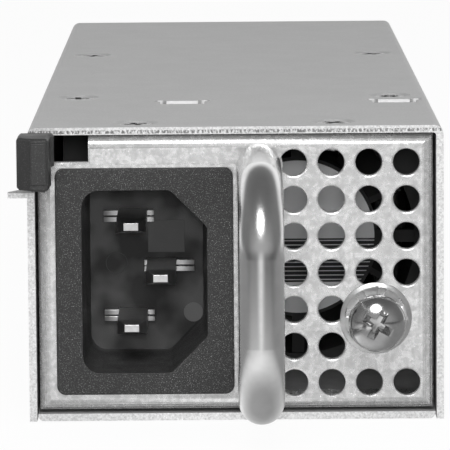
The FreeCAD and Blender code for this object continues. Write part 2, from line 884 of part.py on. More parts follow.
def make_rear_panel():
    """Rear sheet with its top and sides bent forward, vents and the slot for the card edge."""
    panel = new_body("rear_panel")
    back = rear - s.panel_setback
    wall = s.panel_sheet
    pad(panel, "XZ", rear_flange, back,
        [rectangle(-panel_side, panel_bottom, panel_side, panel_top)])
    dress("Fillet", panel, s.panel_bend, lambda e: near(e.CenterOfMass.y, back)
          and e.Length > number(s.panel_flange))
    pocket(panel, "XZ", rear_flange - PAST, back - wall, [rectangle(
        -panel_side + wall, panel_bottom + wall, panel_side - wall, panel_top - wall)])
    slot_half = s.tongue_half_width + s.slot_gap
    pocket(panel, "XZ", back - wall - PAST, back + PAST, [rectangle(
        -slot_half, board_low - s.slot_room, slot_half, s.board_top + s.slot_room)])
    # Vents in staggered rows, as many as fit above the slot.
    vent_low = s.board_top + s.vent_rise
    rise = s.vent_pitch * math.cos(math.radians(30))
    reach = panel_side - wall - s.vent_margin - s.vent_radius
    climb = panel_top - wall - s.vent_margin - s.vent_radius - vent_low
    half_count = int(number(reach) / number(s.vent_pitch))
    vents = []
    for row in range(int(number(climb) / number(rise)) + 1):
        shift = 0.5 * (row % 2)
        for column in range(-half_count, half_count + 1 - row % 2):
            vents.append((s.vent_pitch * (column + shift), vent_low + rise * row, s.vent_radius))
    pocket(panel, "XZ", back - wall - PAST, back + PAST, circles=vents)
    return panel


# ---------------------------------------------------------------------------------------------
# Fixings of the case
# ---------------------------------------------------------------------------------------------
def make_cover_screws():
    """Six countersunk screws in the dimples, in one node."""
    screws = []
    shank_radius = s.cover_screw_radius - s.screw_gap
    head_radius = s.dimple_radius - s.cover_head_gap
    head_top = s.case_height - s.cover_head_sink
    head_low = head_top - head_radius + s.cover_screw_radius
    for index, place in enumerate(screw_places):
        head = cone(f"cover_head_{index}", "z", place, shank_radius, head_radius,
                    head_low, head_top)
        shank = cylinder(f"cover_shank_{index}", "z", place, shank_radius,
                         head_top - s.cover_screw_length, head_low + PAST / 2)
        screws.append(fuse(f"cover_screw_{index}", [head, shank]))
    return node("cover_screws", group("cover_screws", screws))


def make_clinch_nuts():
    """Round clinch nuts under the panel's top flange, which take the two front screws."""
    nuts = []
    top = panel_top - s.panel_sheet
    for index, place in enumerate(screw_places[:2]):
        nuts.append(ring_core(f"clinch_nut_{index}", "z", place, s.clinch_radius,
                              s.cover_screw_radius, top - s.clinch_height, top))
    return node("clinch_nuts", group("clinch_nuts", nuts))


# ---------------------------------------------------------------------------------------------
# Handle
# ---------------------------------------------------------------------------------------------
def bent_rod(body, plane, level, corners, bend, radius):
    """Round rod along straight runs from corner to corner, with an arc at each inner corner.
    The runs lie in the plane at that level, and each one is parallel to a plane's axis."""
    spine = new_sketch(body, plane, level)
    steps = []
    for start, end in zip(corners, corners[1:]):
        run = [number(end[k]) - number(start[k]) for k in (0, 1)]
        steps.append([round(length / math.hypot(*run)) for length in run])
    runs = []
    for index, step in enumerate(steps):
        start, end = corners[index], corners[index + 1]
        if index > 0:
            start = [start[k] + bend * step[k] for k in (0, 1)]
        if index < len(steps) - 1:
            end = [end[k] - bend * step[k] for k in (0, 1)]
        line = spine.addGeometry(Part.LineSegment(
            Vector(number(start[0]), number(start[1]), 0),
            Vector(number(end[0]), number(end[1]), 0)))
        pin_point(spine, line, 1, start)
        pin_point(spine, line, 2, end)
        runs.append(line)
    for index, corner in enumerate(corners[1:-1]):
        before, after = steps[index], steps[index + 1]
        centre = [number(corner[k] + bend * (after[k] - before[k])) for k in (0, 1)]
        circle = Part.Circle(Vector(centre[0], centre[1], 0), Vector(0, 0, 1), number(bend))
        entry = math.atan2(-after[1], -after[0])
        leave = math.atan2(before[1], before[0])
        ends = [(runs[index], 2), (runs[index + 1], 1)]
        if before[0] * after[1] < before[1] * after[0]:
            entry, leave = leave, entry
            ends.reverse()
        arc = spine.addGeometry(Part.ArcOfCircle(circle, entry, leave))
        for point, end in zip((1, 2), ends):
            spine.addConstraint(Sketcher.Constraint("Coincident", arc, point, *end))
        size = spine.addConstraint(Sketcher.Constraint("Radius", arc, number(bend)))
        bind(spine, f"Constraints[{size}]", bend)
    doc.recompute()
    # The section stands across the first run.
    first = corners[0]
    if plane == "YZ":
        section = profile(body, "XZ", first[0], circles=[(level, first[1], radius)])
    else:
        section = profile(body, "YZ", first[0], circles=[(level, first[1], radius)])
    doc.recompute()
    rod = body.newObject("PartDesign::AdditivePipe", body.Name + "_rod")
    rod.Profile = section
    rod.Spine = spine
    doc.recompute()
    return rod


def make_handle():
    """U of round rod: two legs and a grip bar, with a threaded bore in each leg's end."""
    handle = new_body("handle")
    bar = panel_face - s.handle_reach + s.handle_rod
    low, high = handle_ends_z
    bent_rod(handle, "YZ", handle_x,
             [(panel_face, low), (bar, low), (bar, high), (panel_face, high)],
             s.handle_bend, s.handle_rod)
    for end in handle_ends_z:
        pocket(handle, "XZ", panel_face - s.handle_screw_length, panel_face + PAST,
               circles=[(handle_x, end, s.handle_screw_radius)])
    return handle


def ring_core(label, axis, centre, outer, inner, start, end):
    """A plain ring along an axis."""
    disc = cylinder(label + "_disc", axis, centre, outer, start, end)
    hole = cylinder(label + "_hole", axis, centre, inner, start - PAST, end + PAST)
    return subtract(label + "_ring", disc, [hole])


def headed_screw(label, axis, centre, head_radius, head_start, head_end, radius, tip):
    """A cylindrical head with its shank, which runs from the head's end to the tip."""
    head = cylinder(label + "_head", axis, centre, head_radius, head_start, head_end)
    if number(tip) < number(head_start):
        shank = cylinder(label + "_shank", axis, centre, radius, tip, head_start + PAST)
    else:
        shank = cylinder(label + "_shank", axis, centre, radius, head_end - PAST, tip)
    return fuse(label, [head, shank])


def make_handle_fixings():
    """Washers and pan head screws that hold the handle's two legs from behind the panel."""
    washers, screws = [], []
    head_start = panel_back + s.washer_thickness
    tip = panel_face - s.handle_screw_length + s.handle_bore_spare
    for index, z in enumerate(handle_ends_z):
        centre = (handle_x, z)
        washers.append(ring_core(f"handle_washer_{index}", "y", centre, s.handle_washer_radius,
                                 s.handle_screw_radius + s.fit_gap, panel_back, head_start))
        screws.append(headed_screw(
            f"handle_screw_{index}", "y", centre, s.screw_head_radius, head_start,
            head_start + s.screw_head_height, s.handle_screw_radius - s.screw_gap, tip))
    node("handle_washers", group("handle_washers", washers))
    node("handle_screws", group("handle_screws", screws))


# ---------------------------------------------------------------------------------------------
# Mains inlet
# ---------------------------------------------------------------------------------------------
blade_column = inlet_x - s.blade_line_offset
# Each blade: its x, its z, the side of its long shoulder and how far it leads the others.
BLADES = {
    "line_blade": (blade_column, inlet_z + s.blade_spacing / 2, -1, 0.0),
    "neutral_blade": (blade_column, inlet_z - s.blade_spacing / 2, -1, 0.0),
    "earth_blade": (blade_column + s.blade_step, inlet_z, 1, s.earth_blade_lead),
}


def centred(x, z, width, height):
    """The corners of a rectangle round a centre."""
    return rectangle(x - width / 2, z - height / 2, x + width / 2, z + height / 2)


def make_inlet_body():
    """Moulded inlet: flange on the panel's face, housing behind it and the keyed recess."""
    inlet = new_body("inlet_body")
    pad(inlet, "XZ", inlet_front, panel_face,
        [centred(inlet_x, inlet_z, s.inlet_width, s.inlet_height)])
    dress("Fillet", inlet, s.inlet_corner, lambda e: runs_along(e, "y"))
    dress("Fillet", inlet, s.inlet_edge, lambda e: near(e.CenterOfMass.y, inlet_front))
    pad(inlet, "XZ", panel_face - PAST, inlet_back,
        [centred(inlet_x, inlet_z, s.inlet_body_width, s.inlet_body_height)])
    left = inlet_x - s.recess_width / 2
    right = inlet_x + s.recess_width / 2
    low = inlet_z - s.recess_height / 2
    high = inlet_z + s.recess_height / 2
    cut = s.recess_chamfer
    recess = pocket(inlet, "XZ", inlet_front, inlet_floor, [[
        (left, low), (right - cut, low), (right, low + cut), (right, high - cut),
        (right - cut, high), (left, high)]])
    bind(recess, "TaperAngle", -s.recess_taper)
    doc.recompute()
    # The two left corners of the recess are rounded along their whole depth.
    middle_y = number(inlet_front + s.recess_depth / 2)
    dress("Fillet", inlet, s.recess_round, lambda e: abs(e.CenterOfMass.y - middle_y) < 1
          and e.Length > number(s.recess_depth) / 2
          and e.CenterOfMass.x < number(inlet_x - s.recess_width / 4))
    # Slots for the blades through the floor.
    pocket(inlet, "XZ", inlet_floor - PAST, inlet_back + PAST, [
        centred(x, z, s.blade_width, s.blade_thickness) for x, z, side, lead in BLADES.values()])
    return inlet


def make_blade(label, x, z, side, lead):
    """A blade of folded strip: tapered tip, shoulder of two layers at the floor, rear tab."""
    blade = new_body(label)
    start = inlet_front + s.blade_inset - lead
    half = s.blade_width / 2
    shank_start = start + s.blade_tip
    stub_end = inlet_back + s.blade_stub
    pad(blade, "XZ", shank_start, stub_end, [centred(x, z, s.blade_width, s.blade_thickness)])
    tip = profile(blade, "XZ", start, [centred(x, z, half, s.blade_thickness / 2)])
    root = profile(blade, "XZ", shank_start, [centred(x, z, s.blade_width, s.blade_thickness)])
    doc.recompute()
    nose = blade.newObject("PartDesign::AdditiveLoft", label + "_nose")
    nose.Profile = root
    nose.Sections = [tip]
    doc.recompute()
    # Shoulder layers, long on one side of the blade and a nub on the other.
    long_end = half + s.shoulder_reach
    short_end = half + s.shoulder_nub
    middle = x + s.shoulder_shift
    if side > 0:
        low_x, high_x = middle - short_end, middle + long_end
    else:
        low_x, high_x = middle - long_end, middle + short_end
    inner = s.fold_gap / 2
    outer = s.blade_thickness / 2 - s.shoulder_inset
    pad(blade, "XZ", inlet_floor - s.shoulder_thickness, inlet_floor, [
        rectangle(low_x, z - outer, high_x, z - inner),
        rectangle(low_x, z + inner, high_x, z + outer)])
    pad(blade, "XZ", stub_end - PAST, inlet_back + s.tab_length,
        [centred(x, z, s.tab_width, s.tab_thickness)])
    return blade


def make_inlet_wires():
    """A receptacle on each rear tab and the wire from it down to the board."""
    tab_end = inlet_back + s.tab_length
    sleeve_end = tab_end + s.receptacle_end
    # The lowest wire turns down first, and the ones above pass behind it.
    first_drop = sleeve_end + s.wire_straight + s.wire_bend
    drops = {"neutral_blade": first_drop, "earth_blade": first_drop + s.wire_spacing / 2,
             "line_blade": first_drop + s.wire_spacing}
    sleeves = []
    for name, (x, z, side, lead) in BLADES.items():
        half_width_x, half_height = s.receptacle_width / 2, s.receptacle_height / 2
        sleeve = box(name + "_sleeve", x - half_width_x, x + half_width_x,
                     inlet_back + s.receptacle_start, sleeve_end, z - half_height, z + half_height)
        slot_x = s.tab_width / 2 + s.fit_gap
        slot_z = s.tab_thickness / 2 + s.fit_gap
        slot = box(name + "_slot", x - slot_x, x + slot_x, inlet_back, tab_end + s.fit_gap,
                   z - slot_z, z + slot_z)
        sleeves.append(subtract(name + "_receptacle", sleeve, [slot]))
        wire = new_body(name.replace("blade", "wire"))
        drop = drops[name]
        bent_rod(wire, "YZ", x, [(sleeve_end, z), (drop, z), (drop, s.board_top)],
                 s.wire_bend, s.wire_radius)
    node("wire_receptacles", group("wire_receptacles", sleeves))


# ---------------------------------------------------------------------------------------------
# Earth screw
# ---------------------------------------------------------------------------------------------
def make_earth_screw():
    """Pan head screw, turned profile with a domed head; the shank runs on into its nut."""
    screw = new_body("earth_screw")
    under_head = panel_face - s.earth_stand_off
    shank_end = panel_back + s.earth_nut_height + s.earth_screw_end
    top = under_head - s.earth_head_height
    crown = top + s.earth_head_crown
    z = s.earth_height
    rim = z + s.earth_head_radius
    shank = z + s.earth_screw_radius
    sketch = new_sketch(screw, "YZ", earth_x)
    draw_polygon(sketch, [
        (top, z), (shank_end, z), (shank_end, shank), (under_head, shank), (under_head, rim),
        (crown, rim - s.earth_head_lean), (top, rim - s.earth_head_flat)])
    doc.recompute()
    turned = screw.newObject("PartDesign::Revolution", "earth_screw_turned")
    turned.Profile = sketch
    turned.ReferenceAxis = (sketch, ["Edge1"])
    turned.Angle = 360
    doc.recompute()
    dress("Fillet", screw, s.earth_head_round, lambda e: near(e.CenterOfMass.y, crown)
          and e.Curve.TypeId == "Part::GeomCircle")
    return screw


def make_lock_washer():
    """Internal tooth lock washer: a flat ring with teeth that rise towards the screw head."""
    washer = new_body("lock_washer")
    back = panel_face - s.seat_gap
    ring_front = back - s.lock_ring_sheet
    z = s.earth_height
    inner = s.lock_washer_radius - s.lock_ring_width
    pad(washer, "XZ", ring_front, back,
        circles=[(earth_x, z, s.lock_washer_radius), (earth_x, z, inner)])
    root = z + inner + s.lock_tooth_root
    tooth_tip = z + s.earth_screw_radius + s.lock_tooth_gap
    tip_y = ring_front - s.lock_tooth_rise
    sketch = new_sketch(washer, "YZ", earth_x - s.lock_tooth_width / 2)
    draw_polygon(sketch, [(back - PAST, root), (ring_front, root),
                          (tip_y, tooth_tip), (tip_y + s.lock_ring_sheet, tooth_tip)])
    tooth = washer.newObject("PartDesign::Pad", "tooth")
    tooth.Profile = sketch
    bind(tooth, "Length", s.lock_tooth_width)
    doc.recompute()
    ring_pattern(washer, tooth, earth_centre, WASHER_TEETH, "teeth")
    return washer


def make_earth_nut():
    """Hexagon nut behind the panel for the earth screw."""
    nut = new_body("earth_nut")
    corner = s.earth_nut_radius / math.cos(math.radians(30))
    points = []
    for step in range(6):
        turn = math.radians(60 * step)
        points.append((earth_x + corner * math.cos(turn),
                       s.earth_height + corner * math.sin(turn)))
    pad(nut, "XZ", panel_back, panel_back + s.earth_nut_height, [points],
        [(earth_x, s.earth_height, s.earth_screw_radius + s.screw_gap)])
    return nut


# ---------------------------------------------------------------------------------------------
# Latch
# ---------------------------------------------------------------------------------------------
cap_front = front - s.cap_front
cap_back = front - s.cap_back
rivets_y = (pivot_y + s.leaf_foot * 0.3, pivot_y + s.leaf_foot * 0.75)


def make_latch_leaf():
    """Spring leaf in two parts that meet at its bending line: foot on the wall, arm with catch."""
    foot = new_body("latch_foot")
    pad(foot, "XY", leaf_low, leaf_high, [rectangle(
        -inner_side, pivot_y + s.fit_gap, leaf_right, pivot_y + s.leaf_foot)])
    pocket(foot, "YZ", -inner_side - PAST, leaf_right + PAST,
           circles=[(y, leaf_middle, s.rivet_radius) for y in rivets_y])

    arm = new_body("latch_arm")
    catch_start = front + s.catch_slot_depth + s.catch_lead
    catch_end = front + s.catch_slot_depth + s.catch_slot_length - s.catch_spare
    catch_side = -half_width - s.catch_rise
    pad(arm, "XY", leaf_low, leaf_high, [rectangle(
        leaf_left, cap_back - s.leaf_socket, leaf_right, pivot_y)])
    # The catch slopes at both ends, gently at its rear.
    pad(arm, "XY", catch_middle - s.catch_height / 2, catch_middle + s.catch_height / 2, [[
        (leaf_left + PAST, catch_start), (leaf_left + PAST, catch_end),
        (-half_width, catch_end), (catch_side, catch_end - s.catch_rear_slope),
        (catch_side, catch_start + s.catch_front_slope), (-half_width, catch_start)]])


def make_latch_cap():
    """Moulded press cap: slanted left facet, main facet with a raised pad, chamfered edges."""
    cap = new_body("latch_cap")
    left = -half_width - s.cap_proud
    right = left + s.cap_width
    high = s.case_height - s.cap_drop
    low = high - s.cap_height
    edge = s.cap_front_edge
    step = s.cap_side_step
    slant = left + s.cap_slant_width
    pad(cap, "XY", low, high, [[
        (left + edge, cap_back), (left, cap_back - edge), (left, cap_front + s.cap_slant_depth),
        (slant, cap_front), (right - step - edge, cap_front),
        (right - step, cap_front + edge), (right - step, cap_back - s.cap_slant_depth),
        (right, cap_back - s.cap_slant_depth + step), (right, cap_back)]])
    for level in (high, low):
        dress("Chamfer", cap, edge, lambda e: near(e.CenterOfMass.z, level)
              and e.CenterOfMass.y < number(cap_back) - 0.2)
    margin = s.cap_pad_margin
    pad(cap, "XZ", cap_front - s.cap_pad, cap_front + PAST, [rectangle(
        slant + PAST, low + margin, right - step - edge, high - margin)])
    # Below the window the cap's inner step is cut away, clear of the panel's edge.
    pocket(cap, "XZ", cap_front, cap_back + PAST, [rectangle(
        right - step, low - PAST, right + PAST, window_low - s.cap_window_gap)])
    # Socket for the leaf's front end.
    fit = s.leaf_fit
    pocket(cap, "XY", leaf_low - fit, leaf_high + fit, [rectangle(
        leaf_left - fit, cap_back - s.leaf_socket - fit, leaf_right + fit, cap_back + PAST)])


def make_latch_rivets():
    """Two rivets through the leaf's foot."""
    rivets = []
    for index, y in enumerate(rivets_y):
        rivets.append(headed_screw(
            f"latch_rivet_{index}", "x", (y, leaf_middle), s.rivet_head, leaf_right,
            leaf_right + s.rivet_head_height, s.rivet_radius - s.rivet_gap,
            s.leaf_fit - inner_side))
    node("latch_rivets", group("latch_rivets", rivets))


# ---------------------------------------------------------------------------------------------
# Fan
# ---------------------------------------------------------------------------------------------
def corner_holes(x, z, offset, radius):
    """Four circles at the corners of a square round a centre."""
    return [(x + a * offset, z + b * offset, radius) for a in (-1, 1) for b in (-1, 1)]


def make_fan_frame():
    """Square frame with round duct, open sides, struts, hub plate and bearing tube."""
    x, z = fan_axis
    frame = new_body("fan_frame")
    pad(frame, "XZ", fan_front, fan_back, [centred(x, z, fan_size, fan_size)],
        [(x, z, fan_duct)])
    dress("Fillet", frame, s.fan_corner, lambda e: runs_along(e, "y"))
    pocket(frame, "XZ", fan_front - PAST, fan_back + PAST,
           circles=corner_holes(x, z, fan_hole_offset, s.fan_hole_radius))
    # Open sides between the end flanges, as a moulded frame has.
    half = fan_size / 2 + PAST
    skin = fan_duct + s.fan_skin
    window = s.fan_side_window / 2
    for cut in (rectangle(x - half, z - window, x - skin, z + window),
                rectangle(x + skin, z - window, x + half, z + window),
                rectangle(x - window, z - half, x + window, z - skin),
                rectangle(x - window, z + skin, x + window, z + half)):
        pocket(frame, "XZ", fan_front + s.fan_flange, fan_back - s.fan_flange, [cut])
    # Struts and hub plate at the front end, bearing tube behind the plate.
    plate_end = fan_front + s.fan_plate
    span = fan_duct * 2 + PAST * 2
    pad(frame, "XZ", fan_front, plate_end, [centred(x, z, span, s.strut_width)])
    pad(frame, "XZ", fan_front, plate_end, [centred(x, z, s.strut_width, span)])
    pad(frame, "XZ", fan_front, plate_end + s.fan_hub_step, circles=[(x, z, s.fan_hub)])
    bore = s.shaft_radius + s.screw_gap
    tube_end = fan_front + s.rotor_length - s.bearing_setback
    pad(frame, "XZ", plate_end, tube_end, circles=[(x, z, bore + s.bearing_wall)])
    pocket(frame, "XZ", plate_end + s.fan_hub_step, tube_end + PAST, circles=[(x, z, bore)])


def make_fan_rotor():
    """Cup shaped hub on a shaft, with swept blades in a ring."""
    x, z = fan_axis
    rotor = new_body("fan_rotor")
    hub_front = fan_front + s.fan_plate + s.fan_hub_step + s.rotor_gap
    hub_back = hub_front + s.rotor_length
    pad(rotor, "XZ", hub_front, hub_back, circles=[(x, z, s.rotor_hub)])
    pocket(rotor, "XZ", hub_front - PAST, hub_back - s.rotor_wall,
           circles=[(x, z, s.rotor_hub - s.rotor_wall)])
    pad(rotor, "XZ", hub_front, hub_back - s.rotor_wall + PAST, circles=[(x, z, s.shaft_radius)])
    blade_start = hub_front + s.blade_lead
    blade_end = blade_start + s.blade_chord
    skin = s.blade_sheet / 2
    sections = []
    for radius, sweep in ((s.rotor_hub - s.blade_root_sink, s.blade_root_sweep),
                          (fan_duct - s.rotor_tip_gap, s.blade_sweep)):
        lean = sweep / 2
        sections.append(profile(rotor, "XY", z + radius, [[
            (x - lean - skin, blade_end), (x - lean + skin, blade_end),
            (x + lean + skin, blade_start), (x + lean - skin, blade_start)]]))
    doc.recompute()
    blade = rotor.newObject("PartDesign::AdditiveLoft", "fan_blade")
    blade.Profile = sections[0]
    blade.Sections = [sections[1]]
    doc.recompute()
    ring_pattern(rotor, blade, fan_axis, FAN_BLADES, "fan_blades")


def make_fan_label():
    """Blank round label on the hub plate."""
    node("fan_label", cylinder("fan_label", "y", fan_axis, s.fan_hub - s.label_margin,
                               fan_front - s.label_sheet, fan_front))


def make_fan_lead():
    """The fan's lead, out of the frame's side and down to the board's leg."""
    lead = new_body("fan_lead")
    height = s.board_top + s.fan_lead_height
    out = fan_left - s.fan_lead_reach
    bent_rod(lead, "XZ", fan_front + s.fan_lead_depth,
             [(fan_left, height), (out, height), (out, s.board_top)],
             s.fan_lead_bend, s.fan_lead_radius)


def make_fan_bracket():
    """Sheet bracket that carries the fan and takes the cover's middle screws in its two ears."""
    bracket = new_body("fan_bracket")
    back = fan_front - s.label_sheet - s.seat_gap
    plate_front = back - s.bracket_sheet
    x, z = fan_axis
    left = -side_pair_offset - s.bracket_margin
    right = fan_right - s.fit_gap
    step = guard_top - s.bracket_step
    foot = s.tray_sheet + s.bracket_foot_gap
    pad(bracket, "XZ", plate_front, back, [[
        (left, step), (board_leg_right, step), (board_leg_right, foot),
        (right, foot), (right, seat_top), (left, seat_top)]], [(x, z, fan_duct)])
    ear_low = seat_top - s.bracket_sheet
    ear_front = back - s.bracket_ear
    pad(bracket, "XY", ear_low, seat_top, [
        rectangle(left, ear_front, left + s.bracket_ear_width, back),
        rectangle(side_pair_offset - s.bracket_ear_inset, ear_front, right, back)])
    pocket(bracket, "XY", ear_low - PAST, seat_top + PAST, circles=[
        (px, py, s.cover_screw_radius) for px, py in screw_places[2:4]])
    pocket(bracket, "XZ", plate_front - PAST, back + PAST,
           circles=corner_holes(x, z, fan_hole_offset, s.fan_hole_radius))
    # Three screws: the fourth corner is left free, as its hole lies under the case's side.
    screws = []
    for index, (px, pz, hole) in enumerate(corner_holes(x, z, fan_hole_offset, 0.0)[:3]):
        screws.append(headed_screw(
            f"fan_screw_{index}", "y", (px, pz), s.fan_screw_head,
            plate_front - s.fan_screw_head_height, plate_front,
            s.fan_hole_radius - s.screw_gap, fan_front + s.fan_screw_bite))
    node("fan_screws", group("fan_screws", screws))


# ---------------------------------------------------------------------------------------------
# Board
# ---------------------------------------------------------------------------------------------
def make_board():
    """Main circuit board with a forward leg and the card edge tongue that leaves the case."""
    board = new_body("main_board")
    tongue_end = rear + s.tongue_reach
    tongue, cut = s.tongue_half_width, s.tongue_chamfer
    pad(board, "XY", board_low, s.board_top, [[
        (-board_side, board_leg_front), (board_leg_right, board_leg_front),
        (board_leg_right, board_front), (board_side, board_front), (board_side, board_rear),
        (tongue, board_rear), (tongue, tongue_end - cut), (tongue - cut, tongue_end),
        (cut - tongue, tongue_end), (-tongue, tongue_end - cut), (-tongue, board_rear),
        (-board_side, board_rear)]],
        [(x, y, s.cover_screw_radius + s.fit_gap) for x, y in post_places])


def make_edge_contacts():
    """Contact fingers on both faces of the card edge."""
    contacts = []
    half_count = int(number(s.tongue_half_width - s.contact_margin) // number(s.contact_pitch))
    start = rear + s.tongue_reach - s.contact_inset - s.contact_length
    for index in range(-half_count, half_count + 1):
        x = s.contact_pitch * index
        for name, low in (("top", s.board_top), ("low", board_low - s.contact_sheet)):
            contacts.append(box(f"contact_{name}_{index + half_count}",
                                x - s.contact_width / 2, x + s.contact_width / 2,
                                start, start + s.contact_length, low, low + s.contact_sheet))
    node("edge_contacts", group("edge_contacts", contacts))


def make_board_fixings():
    """Posts on the tray that carry the board, and their screws."""
    posts, screws = [], []
    for index, place in enumerate(post_places):
        posts.append(ring_core(f"board_post_{index}", "z", place, s.post_radius,
                               s.cover_screw_radius, s.tray_sheet, board_low))
        screws.append(headed_screw(
            f"board_screw_{index}", "z", place, s.screw_head_radius, s.board_top,
            s.board_top + s.screw_head_height, s.cover_screw_radius - s.screw_gap,
            s.tray_sheet + s.board_screw_start))
    node("board_posts", group("board_posts", posts))
    node("board_screws", group("board_screws", screws))


def make_insulator():
    """Insulating film on the tray under the board, holed for the posts."""
    film = new_body("insulator_sheet")
    low = s.tray_sheet + s.seat_gap
    end = rear_flange - s.insulator_margin
    pad(film, "XY", low, low + s.insulator_thickness, [[
        (-board_side, board_leg_front), (board_leg_right, board_leg_front),
        (board_leg_right, board_front), (board_side, board_front), (board_side, end),
        (-board_side, end)]],
        [(x, y, s.post_radius + s.insulator_post_gap) for x, y in post_places])


def make_heat_sink(label, side, screw_place):
    """L section along one side wall; its finned top flange takes one of the rear screws."""
    sink = new_body(label)
    flange_low = seat_top - s.sink_sheet

    def band(inner):
        """From the sink's outer face inwards to the given offset, as low and high x."""
        return (-sink_outer, -inner) if side < 0 else (inner, sink_outer)

    low_x, high_x = band(sink_face)
    pad(sink, "XZ", sink_front, sink_rear, [rectangle(low_x, s.board_top, high_x, seat_top)])
    low_x, high_x = band(sink_outer - s.sink_flange)
    pad(sink, "XZ", sink_front, sink_rear, [rectangle(low_x, flange_low, high_x, seat_top)])
    pocket(sink, "XY", flange_low - PAST, seat_top + PAST,
           circles=[(*screw_place, s.cover_screw_radius)])
    # Slots that leave fins on the flange's inner edge, none of them near the screw.
    inner = sink_outer - s.sink_flange - PAST
    root = sink_face - s.fin_root
    low_x, high_x = (-root, -inner) if side < 0 else (inner, root)
    slots = []
    for index in range(1, int(number(sink_rear - sink_front) // number(s.fin_pitch))):
        y = sink_front + s.fin_pitch * index
        if abs(number(y - screw_place[1])) > number(s.fin_screw_room):
            slots.append(rectangle(low_x, y - s.fin_slot / 2, high_x, y + s.fin_slot / 2))
    pocket(sink, "XY", flange_low - PAST, seat_top + PAST, slots)


# ---------------------------------------------------------------------------------------------
# Parts on the board
# ---------------------------------------------------------------------------------------------
def spread(start, end, lengths):
    """The middles of parts laid in a row between two places with equal gaps."""
    room = end - start
    for length in lengths:
        room = room - length
    gap = room / (len(lengths) + 1)
    middles = []
    place = start
    for length in lengths:
        place = place + gap
        middles.append(place + length / 2)
        place = place + length
    return middles


def block(label, x, y, width, length, height, lift):
    """A box shaped part that stands over the board, centred at x and y."""
    low = s.board_top + lift
    return box(label, x - width / 2, x + width / 2, y - length / 2, y + length / 2,
               low, low + height)


def make_filter_parts():
    """Fuse, two disc capacitors, ring choke and film capacitor along the board's leg."""
    x = (board_leg_right - board_side) / 2
    fuse_y, first_y, choke_y, second_y, film_y = spread(
        board_leg_front + s.post_setback + s.screw_head_radius,
        board_front + s.post_step - s.screw_head_radius,
        [s.fuse_radius * 2, s.disc_thickness, s.filter_radius * 2, s.disc_thickness,
         s.film_length])
    low = s.board_top + s.part_lift
    node("fuse", cylinder("fuse", "x", (fuse_y, low + s.fuse_radius), s.fuse_radius,
                          x - s.fuse_length / 2, x + s.fuse_length / 2))
    discs = [cylinder(f"disc_{index}", "y", (x, low + s.disc_radius), s.disc_radius,
                      y - s.disc_thickness / 2, y + s.disc_thickness / 2)
             for index, y in enumerate((first_y, second_y))]
    node("disc_capacitors", group("disc_capacitors", discs))
    node("filter_choke", ring_core("filter_choke", "x", (choke_y, low + s.filter_radius),
                                   s.filter_radius, s.filter_bore,
                                   x - s.filter_width / 2, x + s.filter_width / 2))
    node("film_capacitor", block("film_capacitor", x, film_y, s.film_width, s.film_length,
                                 s.film_height, s.part_lift))


def make_sink_devices():
    """Devices clamped to the sinks: bridge and transistors left, output rectifiers right."""
    bridge_y, *transistor_ys = spread(
        sink_front, sink_rear, [s.bridge_length, s.device_length, s.device_length])
    node("bridge_rectifier", block("bridge_rectifier", s.bridge_thickness / 2 - sink_face,
                                   bridge_y, s.bridge_thickness, s.bridge_length,
                                   s.bridge_height, s.bridge_lift))
    rectifier_ys = spread(sink_front, sink_rear, [s.device_length, s.device_length])
    x = sink_face - s.device_thickness / 2
    for label, side_x, places in (("primary_transistors", -x, transistor_ys),
                                  ("output_rectifiers", x, rectifier_ys)):
        devices = [block(f"{label}_{index}", side_x, y, s.device_thickness, s.device_length,
                         s.device_height, s.device_lift) for index, y in enumerate(places)]
        node(label, group(label, devices))


def make_transformer(y):
    """Transformer: a core with two windows and the wound bobbin in them."""
    core = new_body("transformer_core")
    low = s.board_top + s.part_lift
    high = low + s.core_height
    front_y, rear_y = y - s.core_length / 2, y + s.core_length / 2
    half = s.core_width / 2
    pad(core, "YZ", -half, half, [rectangle(front_y, low, rear_y, high)])
    windows = [(front_y + s.core_side, y - s.core_centre / 2),
               (y + s.core_centre / 2, rear_y - s.core_side)]
    core_low, core_high = low + s.core_yoke, high - s.core_yoke
    pocket(core, "YZ", -half - PAST, half + PAST, [
        rectangle(start, core_low, end, core_high) for start, end in windows])
    gap, reach = s.winding_gap, half + s.winding_reach
    windings = [box(f"winding_{index}", -reach, reach, start + gap, end - gap,
                    core_low + gap, core_high - gap)
                for index, (start, end) in enumerate(windows)]
    node("transformer_winding", group("transformer_winding", windings))


def make_main_parts():
    """Boost choke, bulk capacitor, transformer, output choke with the control board, cans."""
    low = s.board_top + s.part_lift
    boost_y, bulk_y, core_y, choke_y, can_y = spread(board_front, board_rear, [
        s.boost_radius * 2, s.bulk_radius * 2, s.core_length, s.output_choke_radius * 2,
        s.output_can_radius * 2])
    node("boost_choke", ring_core("boost_choke", "z", (-s.boost_offset, boost_y), s.boost_radius,
                                  s.boost_bore, low, low + s.boost_height))
    bulk = new_body("bulk_capacitor")
    bulk_top = low + s.bulk_height
    pad(bulk, "XY", low, bulk_top, circles=[(s.bulk_offset, bulk_y, s.bulk_radius)])
    dress("Fillet", bulk, s.bulk_round, lambda e: near(e.CenterOfMass.z, bulk_top))
    make_transformer(core_y)
    node("output_choke", ring_core("output_choke", "z", (s.output_choke_offset, choke_y),
                                   s.output_choke_radius, s.output_choke_bore, low,
                                   low + s.output_choke_height))
    node("control_board", block("control_board", -s.control_offset, choke_y, s.control_sheet,
                                s.control_length, s.control_height, 0.0))
    cans = []
    for index in range(OUTPUT_CANS):
        x = s.output_can_pitch * (index - (OUTPUT_CANS - 1) / 2)
        cans.append(cylinder(f"output_can_{index}", "z", (x, can_y), s.output_can_radius,
                             low, low + s.output_can_height))
    node("output_capacitors", group("output_capacitors", cans))


